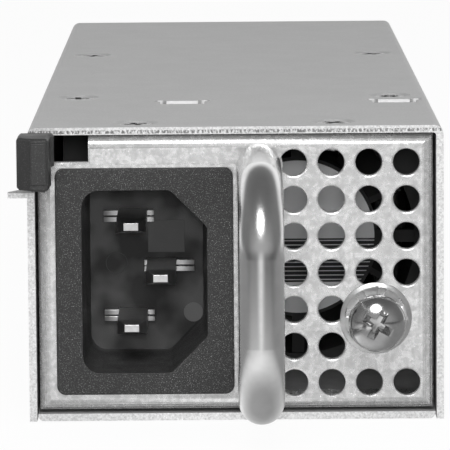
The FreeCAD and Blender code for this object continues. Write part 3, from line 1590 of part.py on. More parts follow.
# ---------------------------------------------------------------------------------------------
# Build, check and export
# ---------------------------------------------------------------------------------------------
make_top_cover()
make_bottom_tray()
make_front_panel()
make_rear_panel()
make_cover_screws()
make_clinch_nuts()
make_handle()
make_handle_fixings()
make_inlet_body()
for blade_name, blade in BLADES.items():
    make_blade(blade_name, *blade)
make_inlet_wires()
make_earth_screw()
make_lock_washer()
make_earth_nut()
make_latch_leaf()
make_latch_cap()
make_latch_rivets()
make_fan_frame()
make_fan_rotor()
make_fan_label()
make_fan_lead()
make_fan_bracket()
make_board()
make_edge_contacts()
make_board_fixings()
make_insulator()
make_heat_sink("primary_heatsink", -1, screw_places[4])
make_heat_sink("secondary_heatsink", 1, screw_places[5])
make_filter_parts()
make_sink_devices()
make_main_parts()
doc.recompute()

for thing in doc.Objects:
    if "Invalid" in thing.State or "Error" in thing.State:
        raise RuntimeError(f"{thing.Label} failed: {thing.State}")
labels = [part.Label for part in nodes]
if len(set(labels)) != len(labels):
    raise RuntimeError("two sub-parts share a name")
for part in nodes:
    if part.Shape.isNull() or not part.Shape.isValid():
        raise RuntimeError(f"{part.Label} has no valid shape")

os.makedirs("parts", exist_ok=True)
for part in nodes:
    part.Shape.exportStep(f"parts/{part.Label}.step")
    print(f"{part.Label:22s} solids {len(part.Shape.Solids):3d}  volume {part.Shape.Volume:10.1f}")
print(len(nodes), "sub-parts")
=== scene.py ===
# %% [markdown]
# # Hot swap server power supply
#
# The solids of this power supply come from a CAD model, packed as a fixed frame. This script
# dresses them: it gives every sheet, moulding and screw the finish that the real one has, and
# models again the few pieces whose detail is finer than the CAD's, such as the screw's cross
# recess and the twisted teeth of its washer. The solids could be modelled here as well, but as
# they are they fit each other and the joints exactly. All lengths are in metres.

# %% Load the frame
import math

import bmesh
import bpy
from mathutils import Matrix, Vector


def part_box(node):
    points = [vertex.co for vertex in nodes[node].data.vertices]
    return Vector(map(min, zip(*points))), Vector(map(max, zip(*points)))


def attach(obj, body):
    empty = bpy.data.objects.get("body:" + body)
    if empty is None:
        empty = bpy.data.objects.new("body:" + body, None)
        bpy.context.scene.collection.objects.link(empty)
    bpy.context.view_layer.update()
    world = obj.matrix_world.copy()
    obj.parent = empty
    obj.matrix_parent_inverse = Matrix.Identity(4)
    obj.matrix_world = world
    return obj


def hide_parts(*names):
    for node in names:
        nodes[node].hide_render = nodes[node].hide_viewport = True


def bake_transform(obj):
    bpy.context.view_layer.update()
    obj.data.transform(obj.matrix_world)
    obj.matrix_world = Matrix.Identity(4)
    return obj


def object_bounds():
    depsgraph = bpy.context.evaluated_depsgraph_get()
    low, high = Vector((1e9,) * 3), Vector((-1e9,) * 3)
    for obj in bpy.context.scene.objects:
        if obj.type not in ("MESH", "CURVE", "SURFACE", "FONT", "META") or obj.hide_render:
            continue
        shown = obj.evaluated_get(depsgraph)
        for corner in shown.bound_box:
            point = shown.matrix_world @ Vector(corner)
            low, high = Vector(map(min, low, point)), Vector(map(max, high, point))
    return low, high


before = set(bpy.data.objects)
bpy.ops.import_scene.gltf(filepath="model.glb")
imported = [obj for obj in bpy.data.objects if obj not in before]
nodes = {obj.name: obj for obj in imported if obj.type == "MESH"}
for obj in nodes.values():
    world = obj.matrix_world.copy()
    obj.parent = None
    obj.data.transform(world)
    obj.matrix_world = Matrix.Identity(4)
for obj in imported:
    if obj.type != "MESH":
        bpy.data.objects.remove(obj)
cad_low, cad_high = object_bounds()
MM = 0.001
print("nodes", len(nodes), "box in mm", [round(v / MM, 1) for v in (*cad_low, *cad_high)])

# %% [markdown]
# ## Camera
#
# The case is seen from a little above, from far away and with a long lens, so that its sides
# run back only gently. A constraint could aim the camera at the case, but a place and two turns
# say the same with less. It stands almost on the case's middle plane, pitched down by seven
# degrees, and is placed by its distance from the cover's front edge, which the frame gives.

# %% Camera
front_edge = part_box("top_cover")[0].y
CAMERA_PLACE = Vector((-1.44 * MM, front_edge - 582.4 * MM, 99.17 * MM))
CAMERA_PITCH = math.radians(82.92)
CAMERA_ROLL = math.radians(-0.453)
LENS = 346.06
camera_data = bpy.data.cameras.new("camera")
camera_data.lens = LENS
camera_data.sensor_width = 36.0
camera_data.clip_start = 0.01
camera_data.clip_end = 50.0
camera = bpy.data.objects.new("camera", camera_data)
bpy.context.scene.collection.objects.link(camera)
camera.matrix_world = (Matrix.Translation(CAMERA_PLACE) @ Matrix.Rotation(CAMERA_PITCH, 4, "X")
                       @ Matrix.Rotation(CAMERA_ROLL, 4, "Z"))
bpy.context.scene.camera = camera
bpy.context.scene.view_settings.view_transform = "Standard"
print("camera", [round(v, 3) for v in CAMERA_PLACE], "lens", LENS)

# %% [markdown]
# ## Shader helpers
#
# A material here is a Principled BSDF fed by one or two shared node groups. Each node could be
# made, set and linked on lines of its own, but most of those lines would be the same. The
# helpers below save them: one adds a node and sets it up, one makes an empty group with named
# sockets, one places a group in a material with its own values, and one links what the group
# puts out to the shader.


# %% Shader helpers
def add_node(tree, kind, inputs=None, **settings):
    """A shader node with its settings, and with its inputs set or linked by name or number."""
    made = tree.nodes.new("ShaderNode" + kind)
    for name, value in settings.items():
        setattr(made, name, value)
    for name, value in (inputs or {}).items():
        feed(tree, made.inputs[name], value)
    return made


def feed(tree, socket, value):
    """Links an output to a socket, or sets the socket's own value."""
    if isinstance(value, bpy.types.NodeSocket):
        tree.links.new(value, socket)
    elif socket.type == "RGBA" and not hasattr(value, "__len__"):
        socket.default_value = (value, value, value, 1)
    elif socket.type == "RGBA":
        socket.default_value = (*value[:3], 1)
    else:
        socket.default_value = value


def new_group(name, inputs, outputs):
    """An empty node group. Each input is a name, a socket kind and a default."""
    group = bpy.data.node_groups.new(name, "ShaderNodeTree")
    for label, kind, default in inputs:
        socket = group.interface.new_socket(label, in_out="INPUT", socket_type="NodeSocket" + kind)
        if default is not None:
            socket.default_value = default
    for label, kind in outputs:
        group.interface.new_socket(label, in_out="OUTPUT", socket_type="NodeSocket" + kind)
    enter = group.nodes.new("NodeGroupInput")
    leave = group.nodes.new("NodeGroupOutput")
    return group, enter.outputs, leave.inputs


# %% Nodes that sum, blend and vary
def math_node(tree, operation, *values, clamp=False):
    """The output of one Math node."""
    made = add_node(tree, "Math", dict(enumerate(values)), operation=operation, use_clamp=clamp)
    return made.outputs[0]


def plus(tree, first, second):
    """The sum of two values."""
    return math_node(tree, "ADD", first, second)


def minus(tree, first, second):
    """The first value less the second."""
    return math_node(tree, "SUBTRACT", first, second)


def times(tree, first, second):
    """The product of two values."""
    return math_node(tree, "MULTIPLY", first, second)


def larger(tree, first, second):
    """The larger of two values."""
    return math_node(tree, "MAXIMUM", first, second)


def apart(tree, first, second):
    """How far two values are apart, without a sign."""
    return math_node(tree, "ABSOLUTE", minus(tree, first, second))


def blend_colour(tree, share, first, second):
    """The output of one Mix node that blends two colours by a share."""
    made = add_node(tree, "Mix", data_type="RGBA")
    feed(tree, made.inputs[0], share)
    feed(tree, made.inputs[6], first)
    feed(tree, made.inputs[7], second)
    return made.outputs[2]


def remap(tree, value, low, high, to_low=0.0, to_high=1.0):
    """The output of a Map Range node, clamped."""
    made = add_node(tree, "MapRange", {0: value, 1: low, 2: high, 3: to_low, 4: to_high})
    return made.outputs[0]


def object_place(tree):
    """The Object coordinates, in metres."""
    return add_node(tree, "TexCoord").outputs["Object"]


def noise_node(tree, place, scale, detail, roughness=0.5):
    """The output of one Noise Texture node."""
    return add_node(tree, "TexNoise", {"Vector": place, "Scale": scale, "Detail": detail,
                                       "Roughness": roughness}).outputs[0]


def bump_node(tree, height, strength, distance):
    """The output of one Bump node."""
    return add_node(tree, "Bump", {"Height": height, "Strength": strength,
                                   "Distance": distance}).outputs[0]


# %% Materials
def new_material(name, metallic=0.0, **sockets):
    """A material with one Principled BSDF whose plain sockets are set."""
    material = bpy.data.materials.new(name)
    material.use_nodes = True
    tree = material.node_tree
    shader = tree.nodes["Principled BSDF"]
    shader.inputs["Metallic"].default_value = metallic
    for socket, value in sockets.items():
        shader.inputs[socket.replace("_", " ")].default_value = value
    return material, tree, shader


def place_group(tree, group, **values):
    """A group node in a material, with its inputs set or linked. Underscores stand for spaces."""
    made = tree.nodes.new("ShaderNodeGroup")
    made.node_tree = group
    for name, value in values.items():
        feed(tree, made.inputs[name.replace("_", " ")], value)
    return made.outputs


def wear_skin(tree, shader, skin, colour=None):
    """Links what a group puts out to the shader, with another colour where one is given."""
    feed(tree, shader.inputs["Base Color"], skin["Colour"] if colour is None else colour)
    feed(tree, shader.inputs["Roughness"], skin["Roughness"])
    feed(tree, shader.inputs["Normal"], skin["Normal"])


print("shader helpers defined")

# %% [markdown]
# ## Sheet metal
#
# Zinc plated sheet is matt with a fine grain from rolling, and its plating is blotched: patches
# a millimetre or more across are a little darker or shinier than their neighbours. A group
# makes both from noise at two sizes. An anisotropic brushed look would be another way, but
# plated sheet has no brush lines, so plain noise is closer.


# %% Rolled sheet group
def make_rolled_sheet_group():
    """Blotches and grain over plated sheet."""
    group, given, result = new_group("rolled sheet", [
        ("Colour", "Color", (0.5, 0.5, 0.5, 1)), ("Dark Colour", "Color", (0.3, 0.3, 0.3, 1)),
        ("Blotch Size", "Float", 0.0015), ("Blotch Amount", "Float", 0.5),
        ("Grain Size", "Float", 0.00025), ("Grain Amount", "Float", 0.5),
        ("Roughness", "Float", 0.4), ("Roughness Spread", "Float", 0.1),
        ("Bump", "Float", 0.1)],
        [("Colour", "Color"), ("Roughness", "Float"), ("Normal", "Vector")])
    place = object_place(group)
    blotch_scale = math_node(group, "DIVIDE", 1.0, given["Blotch Size"])
    blotch = noise_node(group, place, blotch_scale, 3.0, 0.6)
    grain_scale = math_node(group, "DIVIDE", 1.0, given["Grain Size"])
    grain = noise_node(group, place, grain_scale, 2.0, 0.7)
    patches = times(group, remap(group, blotch, 0.35, 0.65), given["Blotch Amount"])
    specks = times(group, remap(group, grain, 0.3, 0.7), given["Grain Amount"])
    share = math_node(group, "ADD", patches, specks, clamp=True)
    feed(group, result["Colour"],
         blend_colour(group, share, given["Colour"], given["Dark Colour"]))
    swing = times(group, minus(group, share, 0.5), given["Roughness Spread"])
    feed(group, result["Roughness"], plus(group, given["Roughness"], swing))
    feed(group, result["Normal"], bump_node(group, grain, given["Bump"], 0.05 * MM))
    return group


rolled_sheet = make_rolled_sheet_group()
print(rolled_sheet.name, "nodes", len(rolled_sheet.nodes))


# %% [markdown]
# Where a press sheared the sheet, its edge is bare and torn: a bright face with ragged streaks,
# and along the cover's rim a dark broken line of short dashes. Those faces could have a second
# material, but a tear has no clean outline. A group finds them by their normal instead, which
# points along the case, so the fronts of the cover's tabs are bright too. Streaks and dashes
# show only at the sheet's own end.


# %% Torn edge group
def make_torn_edge_group():
    """Masks for a sheared end: where it is bare, and where its streaks and dashes lie."""
    group, given, result = new_group("torn edge", [
        ("Edge Place", "Float", 0.0), ("Dash Place", "Float", 0.0), ("Dash Reach", "Float", 0.0002),
        ("Streak Size", "Float", 0.0003)],
        [("Mask", "Float"), ("Dashes", "Float"), ("Streaks", "Float")])
    place = object_place(group)
    split = add_node(group, "SeparateXYZ", {0: place})
    facing = add_node(group, "SeparateXYZ", {0: add_node(group, "NewGeometry").outputs["Normal"]})
    flat = remap(group, math_node(group, "ABSOLUTE", facing.outputs["Y"]), 0.85, 0.95)
    offset = apart(group, split.outputs["Y"], given["Edge Place"])
    close = math_node(group, "LESS_THAN", offset, 0.12 * MM)
    feed(group, result["Mask"], flat)
    scale = math_node(group, "DIVIDE", 1.0, given["Streak Size"])
    noise = noise_node(group, place, scale, 3.0, 0.7)
    feed(group, result["Streaks"], times(group, remap(group, noise, 0.3, 0.7), close))
    stretched = times(group, split.outputs["Z"], 0.4)
    across = add_node(group, "CombineXYZ", {0: split.outputs["X"], 1: 0.0, 2: stretched})
    torn = noise_node(group, across.outputs[0], scale, 2.0, 0.6)
    height = apart(group, split.outputs["Z"], given["Dash Place"])
    inside = remap(group, minus(group, height, given["Dash Reach"]), 0.08 * MM, -0.02 * MM)
    inside = times(group, inside, close)
    feed(group, result["Dashes"], times(group, inside, remap(group, torn, 0.44, 0.56)))
    return group


torn_edge = make_torn_edge_group()
print(torn_edge.name, "nodes", len(torn_edge.nodes))

# %% Cover, tray and panel sheet
EDGE_LIGHT = 0.95
EDGE_DULL = 0.54
EDGE_DARK = 0.20
NO_DASHES = -1.0
dash_height = cad_high.z - 0.62 * MM
tray_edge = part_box("bottom_tray")[0].y


def make_sheet_material(name, colour, dark, blotch_size, blotch_amount, roughness, edge=None,
                        dashes=NO_DASHES, grain_amount=0.5, grain_size=0.00025, metallic=0.6):
    """Plated sheet. Where its end is given, the faces there are torn and bare."""
    material, tree, shader = new_material(name, metallic)
    skin = place_group(tree, rolled_sheet, Colour=colour, Dark_Colour=dark,
                       Blotch_Size=blotch_size, Blotch_Amount=blotch_amount,
                       Grain_Size=grain_size, Grain_Amount=grain_amount, Roughness=roughness)
    colour_out = skin["Colour"]
    if edge is not None:
        torn = place_group(tree, torn_edge, Edge_Place=edge, Dash_Place=dashes)
        streaks = blend_colour(tree, torn["Streaks"], EDGE_LIGHT, EDGE_DULL)
        streaks = blend_colour(tree, torn["Dashes"], streaks, EDGE_DARK)
        colour_out = blend_colour(tree, torn["Mask"], colour_out, streaks)
    wear_skin(tree, shader, skin, colour_out)
    return material


cover_sheet = make_sheet_material("cover sheet", 0.62, 0.50, blotch_size=6 * MM,
                                  blotch_amount=0.15, roughness=0.55, edge=front_edge,
                                  dashes=dash_height, grain_amount=0.7, grain_size=0.18 * MM)
tray_sheet = make_sheet_material("tray sheet", 0.62, 0.45, blotch_size=3 * MM,
                                 blotch_amount=0.4, roughness=0.42, edge=tray_edge)
panel_sheet = make_sheet_material("panel sheet", 0.88, 0.60, blotch_size=0.9 * MM,
                                  blotch_amount=0.75, roughness=0.27, metallic=0.72)
print("sheets", cover_sheet.name, tray_sheet.name, panel_sheet.name)


# %% [markdown]
# ## Mouldings
#
# The inlet is moulded in a glass filled resin. Its skin is nearly black and finely pitted, and
# where fibres reach the surface it glints with pale specks. On the recess's floor the specks
# give way to a lighter cloudy haze, which is painted light: it brightens the deep floor in
# patches. Two materials could do that, but the body is one piece, so the group fades the one
# into the other by the depth along the case. The latch cap has the same kind of skin without
# the painted haze, smoother and a little lighter.

# %% Moulded plastic group
# The haze is painted light on the recess floor: a lighter colour in patches, from this depth along
# Y.
HAZE_LIGHT_START = -78 * MM
HAZE_LIGHT_FULL = -76 * MM
HAZE_LIGHT_COLOUR = 0.074
HAZE_LIGHT_SCALE = 170.0
SHEEN_SCALE = 300.0


def make_moulding_group():
    """Pitted plastic with specks, which give way on the recess floor to hazy patches of painted
    light.
    """
    group, given, result = new_group("moulded plastic", [
        ("Colour", "Color", (0.03, 0.03, 0.03, 1)), ("Speck Colour", "Color", (0.3, 0.3, 0.3, 1)),
        ("Speck Size", "Float", 0.0002), ("Speck Amount", "Float", 0.5),
        ("Roughness", "Float", 0.5), ("Bump", "Float", 0.3), ("Haze", "Float", 0.0)],
        [("Colour", "Color"), ("Roughness", "Float"), ("Normal", "Vector")])
    place = object_place(group)
    scale = math_node(group, "DIVIDE", 1.0, given["Speck Size"])
    noise = noise_node(group, place, scale, 2.0, 0.6)
    depth = add_node(group, "SeparateXYZ", {0: place}).outputs["Y"]
    # Painted light: where the depth reaches the recess floor, a lighter colour is blended in
    # patches.
    cloud = noise_node(group, place, HAZE_LIGHT_SCALE, 2.0)
    smooth = times(group, remap(group, depth, HAZE_LIGHT_START, HAZE_LIGHT_FULL), given["Haze"])
    haze_light = times(group, remap(group, cloud, 0.40, 0.60), smooth)
    haze_lit = blend_colour(group, haze_light, given["Colour"], HAZE_LIGHT_COLOUR)
    specks = times(group, remap(group, noise, 0.58, 0.72), given["Speck Amount"])
    specks = times(group, specks, minus(group, 1.0, smooth))
    feed(group, result["Colour"], blend_colour(group, specks, haze_lit, given["Speck Colour"]))
    sheen = noise_node(group, place, SHEEN_SCALE, 2.0)
    feed(group, result["Roughness"],
         plus(group, given["Roughness"], remap(group, sheen, 0.3, 0.7, -0.06, 0.06)))
    feed(group, result["Normal"], bump_node(group, noise, given["Bump"], 0.08 * MM))
    return group


moulded_plastic = make_moulding_group()
print(moulded_plastic.name, "nodes", len(moulded_plastic.nodes))


# %% Mouldings
def make_moulding_material(name, colour, speck, speck_amount, roughness, bump=0.3, size=0.0002,
                           gloss=0.5, haze_light=0.0):
    """Moulded plastic, with specks of their own size and a share of hazy painted light."""
    material, tree, shader = new_material(name, 0.0, Specular_IOR_Level=gloss)
    skin = place_group(tree, moulded_plastic, Colour=colour, Speck_Colour=speck,
                       Speck_Amount=speck_amount, Speck_Size=size, Roughness=roughness, Bump=bump,
                       Haze=haze_light)
    wear_skin(tree, shader, skin)
    return material


# The inlet's recess floor gets the painted haze of light.
inlet_plastic = make_moulding_material("inlet plastic", 0.024, 0.28, 0.85, 0.5, bump=0.5,
                                       size=0.13 * MM, gloss=0.3, haze_light=1.0)
gate_plastic = make_moulding_material("gate mark plastic", 0.10, 0.13, 0.3, 0.5, bump=0.1,
                                      size=0.4 * MM)
field_plastic = make_moulding_material("smooth field plastic", 0.060, 0.08, 0.3, 0.5, bump=0.1,
                                       size=0.4 * MM)
latch_plastic = make_moulding_material("latch plastic", 0.028, 0.13, 0.7, 0.45, bump=0.3,
                                       size=0.14 * MM, gloss=0.35)
fan_plastic = make_moulding_material("fan plastic", 0.05, 0.07, 0.3, 0.6, bump=0.1,
                                     size=0.3 * MM, gloss=0.2)
blackened_sheet = make_moulding_material("blackened sheet", 0.05, 0.07, 0.4, 0.6, bump=0.1,
                                         size=0.3 * MM, gloss=0.2)
package_plastic = make_moulding_material("package plastic", 0.03, 0.06, 0.3, 0.45, bump=0.1)
print("mouldings", inlet_plastic.name, latch_plastic.name, "and five more")


# %% [markdown]
# ## Plated metal
#
# The handle, the earth screw and the blades have a bright plating, and the cover screws a
# darker one. It is smooth, with fine scuffs that spread its highlights unevenly. A scratch
# texture could show each scuff, but at this size only their sum is seen, so one noise varies
# colour, roughness and bump.


# %% Plated metal group
def make_plating_group():
    """Scuffs over smooth plating."""
    group, given, result = new_group("plated metal", [
        ("Colour", "Color", (0.7, 0.7, 0.7, 1)), ("Dull Colour", "Color", (0.5, 0.5, 0.5, 1)),
        ("Scuff Size", "Float", 0.001), ("Roughness", "Float", 0.2),
        ("Roughness Spread", "Float", 0.15), ("Bump", "Float", 0.05)],
        [("Colour", "Color"), ("Roughness", "Float"), ("Normal", "Vector")])
    place = object_place(group)
    scale = math_node(group, "DIVIDE", 1.0, given["Scuff Size"])
    noise = noise_node(group, place, scale, 4.0, 0.65)
    share = remap(group, noise, 0.35, 0.7)
    feed(group, result["Colour"],
         blend_colour(group, share, given["Colour"], given["Dull Colour"]))
    swing = times(group, share, given["Roughness Spread"])
    feed(group, result["Roughness"], plus(group, given["Roughness"], swing))
    feed(group, result["Normal"], bump_node(group, noise, given["Bump"], 0.02 * MM))
    return group


plated_metal = make_plating_group()
print(plated_metal.name, "nodes", len(plated_metal.nodes))


# %% Platings
def make_plated_material(name, colour, dull, roughness, spread=0.12, scuff=0.001, bump=0.05):
    """Bare or plated metal with scuffs of a given size."""
    material, tree, shader = new_material(name, 1.0)
    skin = place_group(tree, plated_metal, Colour=colour, Dull_Colour=dull, Scuff_Size=scuff,
                       Roughness=roughness, Roughness_Spread=spread, Bump=bump)
    wear_skin(tree, shader, skin)
    return material


handle_plating = make_plated_material("handle plating", 0.80, 0.75, 0.20, spread=0.05,
                                      scuff=2 * MM, bump=0.02)
screw_plating = make_plated_material("screw plating", 0.64, 0.58, 0.13, spread=0.05,
                                     scuff=1.2 * MM, bump=0.02)
washer_plating = make_plated_material("washer plating", 0.84, 0.74, 0.30, spread=0.08,
                                      scuff=0.6 * MM, bump=0.03)
zinc_plating = make_plated_material("zinc plating", 0.34, 0.22, 0.22, spread=0.1,
                                    scuff=0.5 * MM)
blade_plating = make_plated_material("blade plating", 0.90, 0.80, 0.30, spread=0.08,
                                     scuff=0.8 * MM)
spring_steel = make_plated_material("spring steel", 0.5, 0.42, 0.3)
sink_metal = make_plated_material("sink metal", 0.6, 0.5, 0.35)
brass = make_plated_material("brass", (0.72, 0.52, 0.22), (0.55, 0.38, 0.15), 0.25)
contact_gold = make_plated_material("contact gold", (0.90, 0.66, 0.25), (0.8, 0.55, 0.2), 0.22)
copper_wire = make_plated_material("enamelled wire", (0.62, 0.27, 0.10), (0.5, 0.2, 0.08), 0.3)
print("platings", handle_plating.name, screw_plating.name, "and eight more")

# %% [markdown]
# The fan's hub carries a round label. It stays bare of words: only a block of printed stripes,
# as such labels have. They could be thin raised bars, but ink has no height. Here the stripes
# are drawn by the height on the label, with a fraction that repeats.

# %% Fan label
STRIPE_STEP = 0.64 * MM
STRIPE_GAP = 0.22
BLOCK_TOP = -0.25 * MM
BLOCK_FOOT = -6.7 * MM
label_low, label_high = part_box("fan_label")


def make_label_material():
    """White film with a block of dark stripes on its lower half."""
    material, tree, shader = new_material("fan label", 0.0, Roughness=0.4)
    middle = (label_low.z + label_high.z) / 2
    height = add_node(tree, "SeparateXYZ", {0: object_place(tree)}).outputs["Z"]
    steps = math_node(tree, "DIVIDE", minus(tree, height, middle), STRIPE_STEP)
    step = math_node(tree, "FRACT", steps)
    ink = math_node(tree, "GREATER_THAN", step, STRIPE_GAP)
    below = math_node(tree, "LESS_THAN", height, middle + BLOCK_TOP)
    above = math_node(tree, "GREATER_THAN", height, middle + BLOCK_FOOT)
    ink = times(tree, ink, times(tree, below, above))
    skin = place_group(tree, moulded_plastic, Colour=(0.9, 0.9, 0.91),
                       Speck_Colour=(0.75, 0.75, 0.76), Speck_Amount=0.2, Roughness=0.4,
                       Bump=0.03)
    feed(tree, shader.inputs["Base Color"],
         blend_colour(tree, ink, skin["Colour"], (0.03, 0.03, 0.032)))
    return material


label_film = make_label_material()
print("label between", round(label_low.z / MM, 1), "and", round(label_high.z / MM, 1), "mm")

# %% [markdown]
# ## Finishes of the frame's pieces
#
# The parts inside are lacquer, ferrite, coloured sleeves and insulation. Each could have a
# group of its own, but they are small and mostly hidden, so they share the moulded skin, nearly
# smooth and in their own colours. One table then lists the pieces under their finish. Pieces
# that are modelled again further down are dressed here too, so that none stays bare.


# %% Finishes inside
def plain(name, colour, roughness):
    """A nearly smooth skin in one colour, with slightly darker specks."""
    dark = tuple(0.7 * c for c in colour)
    return make_moulding_material(name, colour, dark, 0.5, roughness, 0.05, 0.0005)


board_lacquer = plain("board lacquer", (0.02, 0.12, 0.05), 0.3)
clear_film = plain("insulating film", (0.62, 0.61, 0.54), 0.3)
ferrite = plain("ferrite", (0.05, 0.05, 0.055), 0.7)
film_box = plain("film capacitor box", (0.55, 0.42, 0.06), 0.35)
disc_blue = plain("disc coating", (0.02, 0.08, 0.35), 0.3)
can_sleeve = plain("can sleeve", (0.02, 0.02, 0.025), 0.3)
fuse_ceramic = plain("fuse ceramic", (0.7, 0.68, 0.62), 0.35)
nylon = plain("nylon", (0.68, 0.66, 0.6), 0.4)
wire_brown = plain("brown insulation", (0.09, 0.03, 0.012), 0.4)
wire_blue = plain("blue insulation", (0.02, 0.07, 0.28), 0.4)
wire_green = plain("green insulation", (0.05, 0.22, 0.03), 0.4)
wire_black = plain("black insulation", (0.015, 0.015, 0.015), 0.4)
print("materials so far", len(bpy.data.materials))

# %% Table of finishes
FINISHES = {
    cover_sheet: ["top_cover"],
    tray_sheet: ["bottom_tray", "rear_panel"],
    blackened_sheet: ["fan_bracket"],
    panel_sheet: ["front_panel"],
    inlet_plastic: ["inlet_body"],
    latch_plastic: ["latch_cap"],
    fan_plastic: ["fan_frame", "fan_rotor"],
    handle_plating: ["handle"],
    screw_plating: ["cover_screws", "clinch_nuts", "handle_washers", "handle_screws",
                    "earth_screw", "lock_washer", "earth_nut", "latch_rivets", "fan_screws",
                    "board_screws"],
    blade_plating: ["line_blade", "neutral_blade", "earth_blade"],
    spring_steel: ["latch_foot", "latch_arm"],
    sink_metal: ["primary_heatsink", "secondary_heatsink"],
    brass: ["board_posts"],
    contact_gold: ["edge_contacts"],
    copper_wire: ["filter_choke", "boost_choke", "transformer_winding", "output_choke"],
    board_lacquer: ["main_board", "control_board"],
    label_film: ["fan_label"],
    clear_film: ["insulator_sheet"],
    ferrite: ["transformer_core"],
    film_box: ["film_capacitor"],
    disc_blue: ["disc_capacitors"],
    can_sleeve: ["bulk_capacitor", "output_capacitors"],
    package_plastic: ["bridge_rectifier", "primary_transistors", "output_rectifiers"],
    fuse_ceramic: ["fuse"],
    nylon: ["wire_receptacles"],
    wire_brown: ["line_wire"],
    wire_blue: ["neutral_wire"],
    wire_green: ["earth_wire"],
    wire_black: ["fan_lead"],
}


def dress(name, material):
    """Puts one material on a CAD node."""
    slots = nodes[name].data.materials
    slots.clear()
    slots.append(material)


bare = set(nodes)
for finish, names in FINISHES.items():
    for name in names:
        dress(name, finish)
        bare.discard(name)
print("nodes left without a finish:", sorted(bare))

# %% [markdown]
# ## Modelling helpers
#
# New pieces start from a primitive at its place and are shaped in edit mode. A mesh could also
# be written point by point, but operators are what a modeller uses by hand, and they keep the
# code near the shape. An operator acts on everything that is selected, and the frame's pieces
# come in selected, so each start deselects all first. A finished piece keeps its place in its
# mesh, at the origin, as the frame's do.


# %% Modelling helpers
MERGE = 1e-6


def start(name, add, **settings):
    """Adds a primitive, alone in the selection, with its place and turn in its mesh."""
    bpy.ops.object.select_all(action="DESELECT")
    add(**settings)
    piece = bpy.context.object
    piece.name = name
    bpy.ops.object.transform_apply(location=True, rotation=True, scale=True)
    return piece


def pick_alone(piece):
    """Makes one piece the active and only selected one."""
    bpy.ops.object.select_all(action="DESELECT")
    piece.select_set(True)
    bpy.context.view_layer.objects.active = piece


def pick(piece, kind, test):
    """Selects, in edit mode, the faces, edges or verts for which a test is true."""
    bpy.ops.mesh.select_mode(type={"faces": "FACE", "edges": "EDGE", "verts": "VERT"}[kind])
    bpy.ops.mesh.select_all(action="DESELECT")
    mesh = bmesh.from_edit_mesh(piece.data)
    count = 0
    for part in getattr(mesh, kind):
        chosen = bool(test(part))
        part.select_set(chosen)
        count += chosen
    mesh.select_flush_mode()
    bmesh.update_edit_mesh(piece.data)
    return count


# %% Rounding and turning
def apply_modifier(piece, kind, **settings):
    """Adds a modifier and applies it."""
    pick_alone(piece)
    modifier = piece.modifiers.new(kind.lower(), kind)
    for name, value in settings.items():
        setattr(modifier, name, value)
    bpy.ops.object.modifier_apply(modifier=modifier.name)


def shade(piece, turn=16):
    """Shades smoothly over edges that turn by less than an angle in degrees."""
    pick_alone(piece)
    bpy.ops.object.shade_smooth_by_angle(angle=math.radians(turn))


def soften(piece, width, angle=35, segments=2, smooth=16):
    """Rounds the edges that turn by more than an angle, then shades the piece."""
    apply_modifier(piece, "BEVEL", width=width, segments=segments, limit_method="ANGLE",
                   angle_limit=math.radians(angle))
    shade(piece, smooth)


def turned(name, profile, place, steps=48):
    """A piece turned about the Y axis from a closed profile of (radius, place along Y)."""
    piece = start(name, bpy.ops.mesh.primitive_circle_add, vertices=len(profile), radius=0.01)
    for vertex, (radius, along) in zip(piece.data.vertices, profile):
        vertex.co = (radius, along, 0)
    bpy.ops.object.mode_set(mode="EDIT")
    bpy.ops.mesh.select_all(action="SELECT")
    bpy.ops.mesh.spin(steps=steps, angle=math.tau, center=(0, 0, 0), axis=(0, 1, 0))
    bpy.ops.mesh.select_all(action="SELECT")
    bpy.ops.mesh.remove_doubles(threshold=MERGE)
    bpy.ops.mesh.delete_loose()
    bpy.ops.mesh.select_all(action="SELECT")
    bpy.ops.mesh.normals_make_consistent(inside=False)
    bpy.ops.object.mode_set(mode="OBJECT")
    piece.data.transform(Matrix.Translation(place))
    return piece


# %% Copies, cuts and finished pieces
def copy_of(piece, name, matrix):
    """A copy with its own mesh, moved by a matrix."""
    twin = piece.copy()
    twin.data = piece.data.copy()
    twin.name = name
    bpy.context.scene.collection.objects.link(twin)
    twin.data.transform(matrix)
    return twin


def join(pieces, name):
    """Joins pieces into the first one."""
    bpy.ops.object.select_all(action="DESELECT")
    for piece in pieces:
        piece.select_set(True)
    bpy.context.view_layer.objects.active = pieces[0]
    bpy.ops.object.join()
    pieces[0].name = name
    return pieces[0]


def cut(piece, tool):
    """Cuts a tool's shape out of a piece and removes the tool."""
    apply_modifier(piece, "BOOLEAN", operation="DIFFERENCE", object=tool, solver="EXACT")
    bpy.data.objects.remove(tool, do_unlink=True)


def finish_piece(piece, material, body, *replaced):
    """Gives a piece its finish, its body and the frame's nodes that it stands for."""
    piece.data.materials.clear()
    piece.data.materials.append(material)
    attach(piece, body)
    if replaced:
        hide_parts(*replaced)
    print(piece.name, "faces", len(piece.data.polygons), "stands for", replaced or "nothing")
    return piece


print("modelling helpers defined")

# %% [markdown]
# ## Cross recess
#
# The screws have a cross recess for a driver, with four tapered arms. Two crossed boxes would
# make it too, but their faces would overlap in the middle. A square post is the start. Its four
# side faces are extruded one by one into arms, and the far end is drawn in, so the arms taper
# as a driver's tip does. The tool is then cut out of a head.


